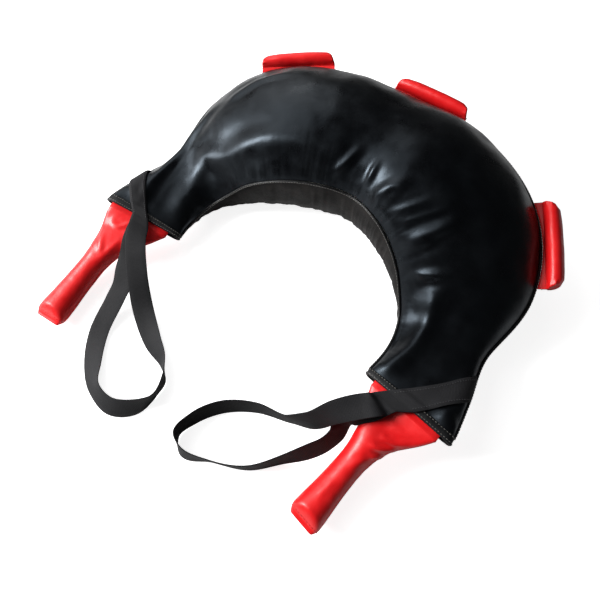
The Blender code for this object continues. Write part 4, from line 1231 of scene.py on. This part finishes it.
# Inside: liner, sand bags, wadding
inside = {
    "rows": 90,
    "around": 64,
    "linerEnd": 0.80,
    "linerDepths": (0.0034, 0.0044),
    "bagDepth": 0.0068,
    "waddingDepth": 0.0044,
    "lumps": ((0.05, 0.0008), (0.015, 0.0003)),
    "bagJoint": 0.285,
    "jointGap": 0.008,
    "bagNeck": 0.70,
    "bagTail": 0.78,
    # the drawn-in neck: share of the way from shoulder to tail, size
    "neck": (
        (0.08, 0.95), (0.18, 0.78), (0.30, 0.56), (0.42, 0.37), (0.55, 0.25),
        (0.66, 0.22), (0.78, 0.25), (0.90, 0.34), (1, 0.40),
    ),
    "pleats": 13,
    "pleatDepth": 0.10,
    "wadding": (0.822, 0.888),
    "centerRows": 50,
    "sideRows": 44,
    "waddingRows": 14,
    "step": 0.004,  # between the two rings that give the skin's direction
}
tieShape = {"radius": 0.0012, "sides": 8, "turns": 3, "points": 145, "pitch": 0.0024, "slack": 1.12, "neckRow": -4}


def layerRing(s, depth):
    # A ring inside the skin, at a depth under it
    ring = sectionRing(s, inside["around"])
    return ring - ringOutward(ring, sectionRing(s + inside["step"], inside["around"])) * depth


def layerUv(rings):
    girth = np.linalg.norm(np.roll(rings, -1, axis=1) - rings, axis=2).mean(axis=0)
    return spread(runLength(rings.mean(axis=1))[:, None], np.cumsum(girth)[None])


def insideBag(name, node, finish, material, cuts, depth, fill, tailEnd=None):
    rings = np.array([layerRing(s, depth) for s in cuts])
    if tailEnd is not None:
        # The mouth of the bag is drawn in and tied, with a short tail beyond
        shoulder, tail, neck = rings[-1], layerRing(tailEnd, depth), []
        waves = np.sin(ringTurns(inside["around"]) * inside["pleats"])
        for share, size in inside["neck"]:
            ring = shoulder * (1 - share) + tail * share
            hub = ring.mean(axis=0)
            pleat = 1 + inside["pleatDepth"] * waves * min(1, (1 - size) * 2)
            neck.append(hub + (ring - hub) * (size * pleat)[:, None])
        rings = np.concatenate([rings, neck])
    height = uneven(0, rings, inside["lumps"], 60)
    rings = pushOut(rings, rings.mean(axis=1, keepdims=True), height)
    piece = loftPiece(name, rings, material, layerUv(rings))
    standFor(piece, finish, node, fill=fill)
    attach(piece, "bag")
    return rings


ends = inside["bagJoint"] - inside["jointGap"], inside["bagJoint"] + inside["jointGap"]
cuts = np.linspace(-ends[0], ends[0], inside["centerRows"])
insideBag("sandBagCenter", "sand_bag_center", "sand_bag_cloth", canvas, cuts, inside["bagDepth"], 0.9)
for label, side in bothSides:
    name, node = "sandBag" + label.capitalize(), "sand_bag_" + label
    cuts = side * np.linspace(ends[1], inside["bagNeck"], inside["sideRows"])
    tailEnd = side * inside["bagTail"]
    rings = insideBag(name, node, "sand_bag_cloth", canvas, cuts, inside["bagDepth"], 0.9, tailEnd)
    # Three turns of twine round the neck
    look = tieShape
    neck, row = rings[look["neckRow"]], look["neckRow"]
    hub, normal = neck.mean(axis=0), unit(rings[row + 1].mean(axis=0) - rings[row - 1].mean(axis=0))
    turns = np.linspace(0, look["turns"], look["points"])
    reaches = np.linalg.norm(np.concatenate([neck, neck[:1]]) - hub, axis=1)
    reach = np.interp(turns % 1 * inside["around"], np.arange(inside["around"] + 1), reaches).mean()
    first = unit(neck[0] - hub)
    direction = first * np.cos(turns * 2 * math.pi)[:, None]
    direction = direction + np.cross(normal, first) * np.sin(turns * 2 * math.pi)[:, None]
    climb = (turns - look["turns"] / 2) * look["pitch"]
    coil = hub + direction * (reach * look["slack"] + look["radius"]) + normal * climb[:, None]
    tie = loftPiece(name + "Tie", tubeRings(coil, look["radius"], look["sides"]), twine)
    standFor(tie, "cord", node + "_tie")
    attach(tie, "bag")
    name, node = "hornWadding" + label.capitalize(), "horn_wadding_" + label
    cuts = side * np.linspace(*inside["wadding"], inside["waddingRows"])
    insideBag(name, node, "padding", wadding, cuts, inside["waddingDepth"], 0.7)

cuts = np.linspace(-inside["linerEnd"], inside["linerEnd"], inside["rows"])
outerRings, innerRings = (np.array([layerRing(s, depth) for s in cuts]) for depth in inside["linerDepths"])
rings = np.concatenate([outerRings, innerRings[::-1]])
uv = layerUv(outerRings)
faces = ringFaces(len(rings), inside["around"], True)
liner = meshPiece("innerLiner", rings, faces, linerCloth, np.concatenate([uv, uv[::-1]]))
standFor(liner, "liner_cloth", "inner_liner")
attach(liner, "bag")
print("inside made")


# Floor, lights and background
studio = {
    "floor": "#f4f4f4",
    "floorHalfWidth": 8,
    "floorGlow": 0.86,  # added for the camera only, so that the lit floor is white and its shadows stay
    "worldStrength": 0.06,
    "aim": (0, -0.12, 0.08),
    # name, place, width, height, watts
    "lamps": (
        ("keySoftbox", (-1.49, -0.98, 1.08), 0.75, 0.85, 58),
        ("sideSoftbox", (-1.29, -0.47, 1.28), 1.7, 1.8, 13),
        ("backSoftbox", (-1.27, 0.77, 1.17), 1.2, 1.2, 8),
    ),
}

floorMaterial, floorTree, shader = newMaterial("paintedStudioFloor", {
    "Base Color": hexColour(studio["floor"]), "Roughness": 0.9, "Specular IOR Level": 0.1,
    "Emission Color": (1, 1, 1, 1)})
seen = addNode(floorTree, "ShaderNodeLightPath").outputs["Is Camera Ray"]
glow = addNode(floorTree, "ShaderNodeMath", {0: seen, 1: studio["floorGlow"]}, operation="MULTIPLY")
setInputs(floorTree, shader, {"Emission Strength": glow.outputs["Value"]})
floorMesh = bpy.data.meshes.new("studioFloor")
corners = [(x, y, 0) for x, y in ((-1, -1), (1, -1), (1, 1), (-1, 1))]
floorMesh.from_pydata([np.array(c) * studio["floorHalfWidth"] for c in corners], [], [(0, 1, 2, 3)])
floorMesh.materials.append(floorMaterial)
addObject("studioFloor", floorMesh)

for name, place, width, height, watts in studio["lamps"]:
    lampData = bpy.data.lights.new(name, "AREA")
    lampData.shape = "RECTANGLE"
    lampData.size = width
    lampData.size_y = height
    lampData.energy = watts
    aimObject(addObject(name, lampData), place, Vector(studio["aim"]) - Vector(place))

world = bpy.data.worlds.new("studioWorld")
bpy.context.scene.world = world
world.use_nodes = True
seen = addNode(world.node_tree, "ShaderNodeLightPath").outputs["Is Camera Ray"]
strength = addNode(world.node_tree, "ShaderNodeMapRange", {
    "Value": seen, "To Min": studio["worldStrength"], "To Max": 1.0})
setInputs(world.node_tree, world.node_tree.nodes["Background"], {
    "Color": (1, 1, 1, 1), "Strength": strength.outputs["Result"]})
bpy.context.scene.view_settings.view_transform = "Standard"

print("scene finished")
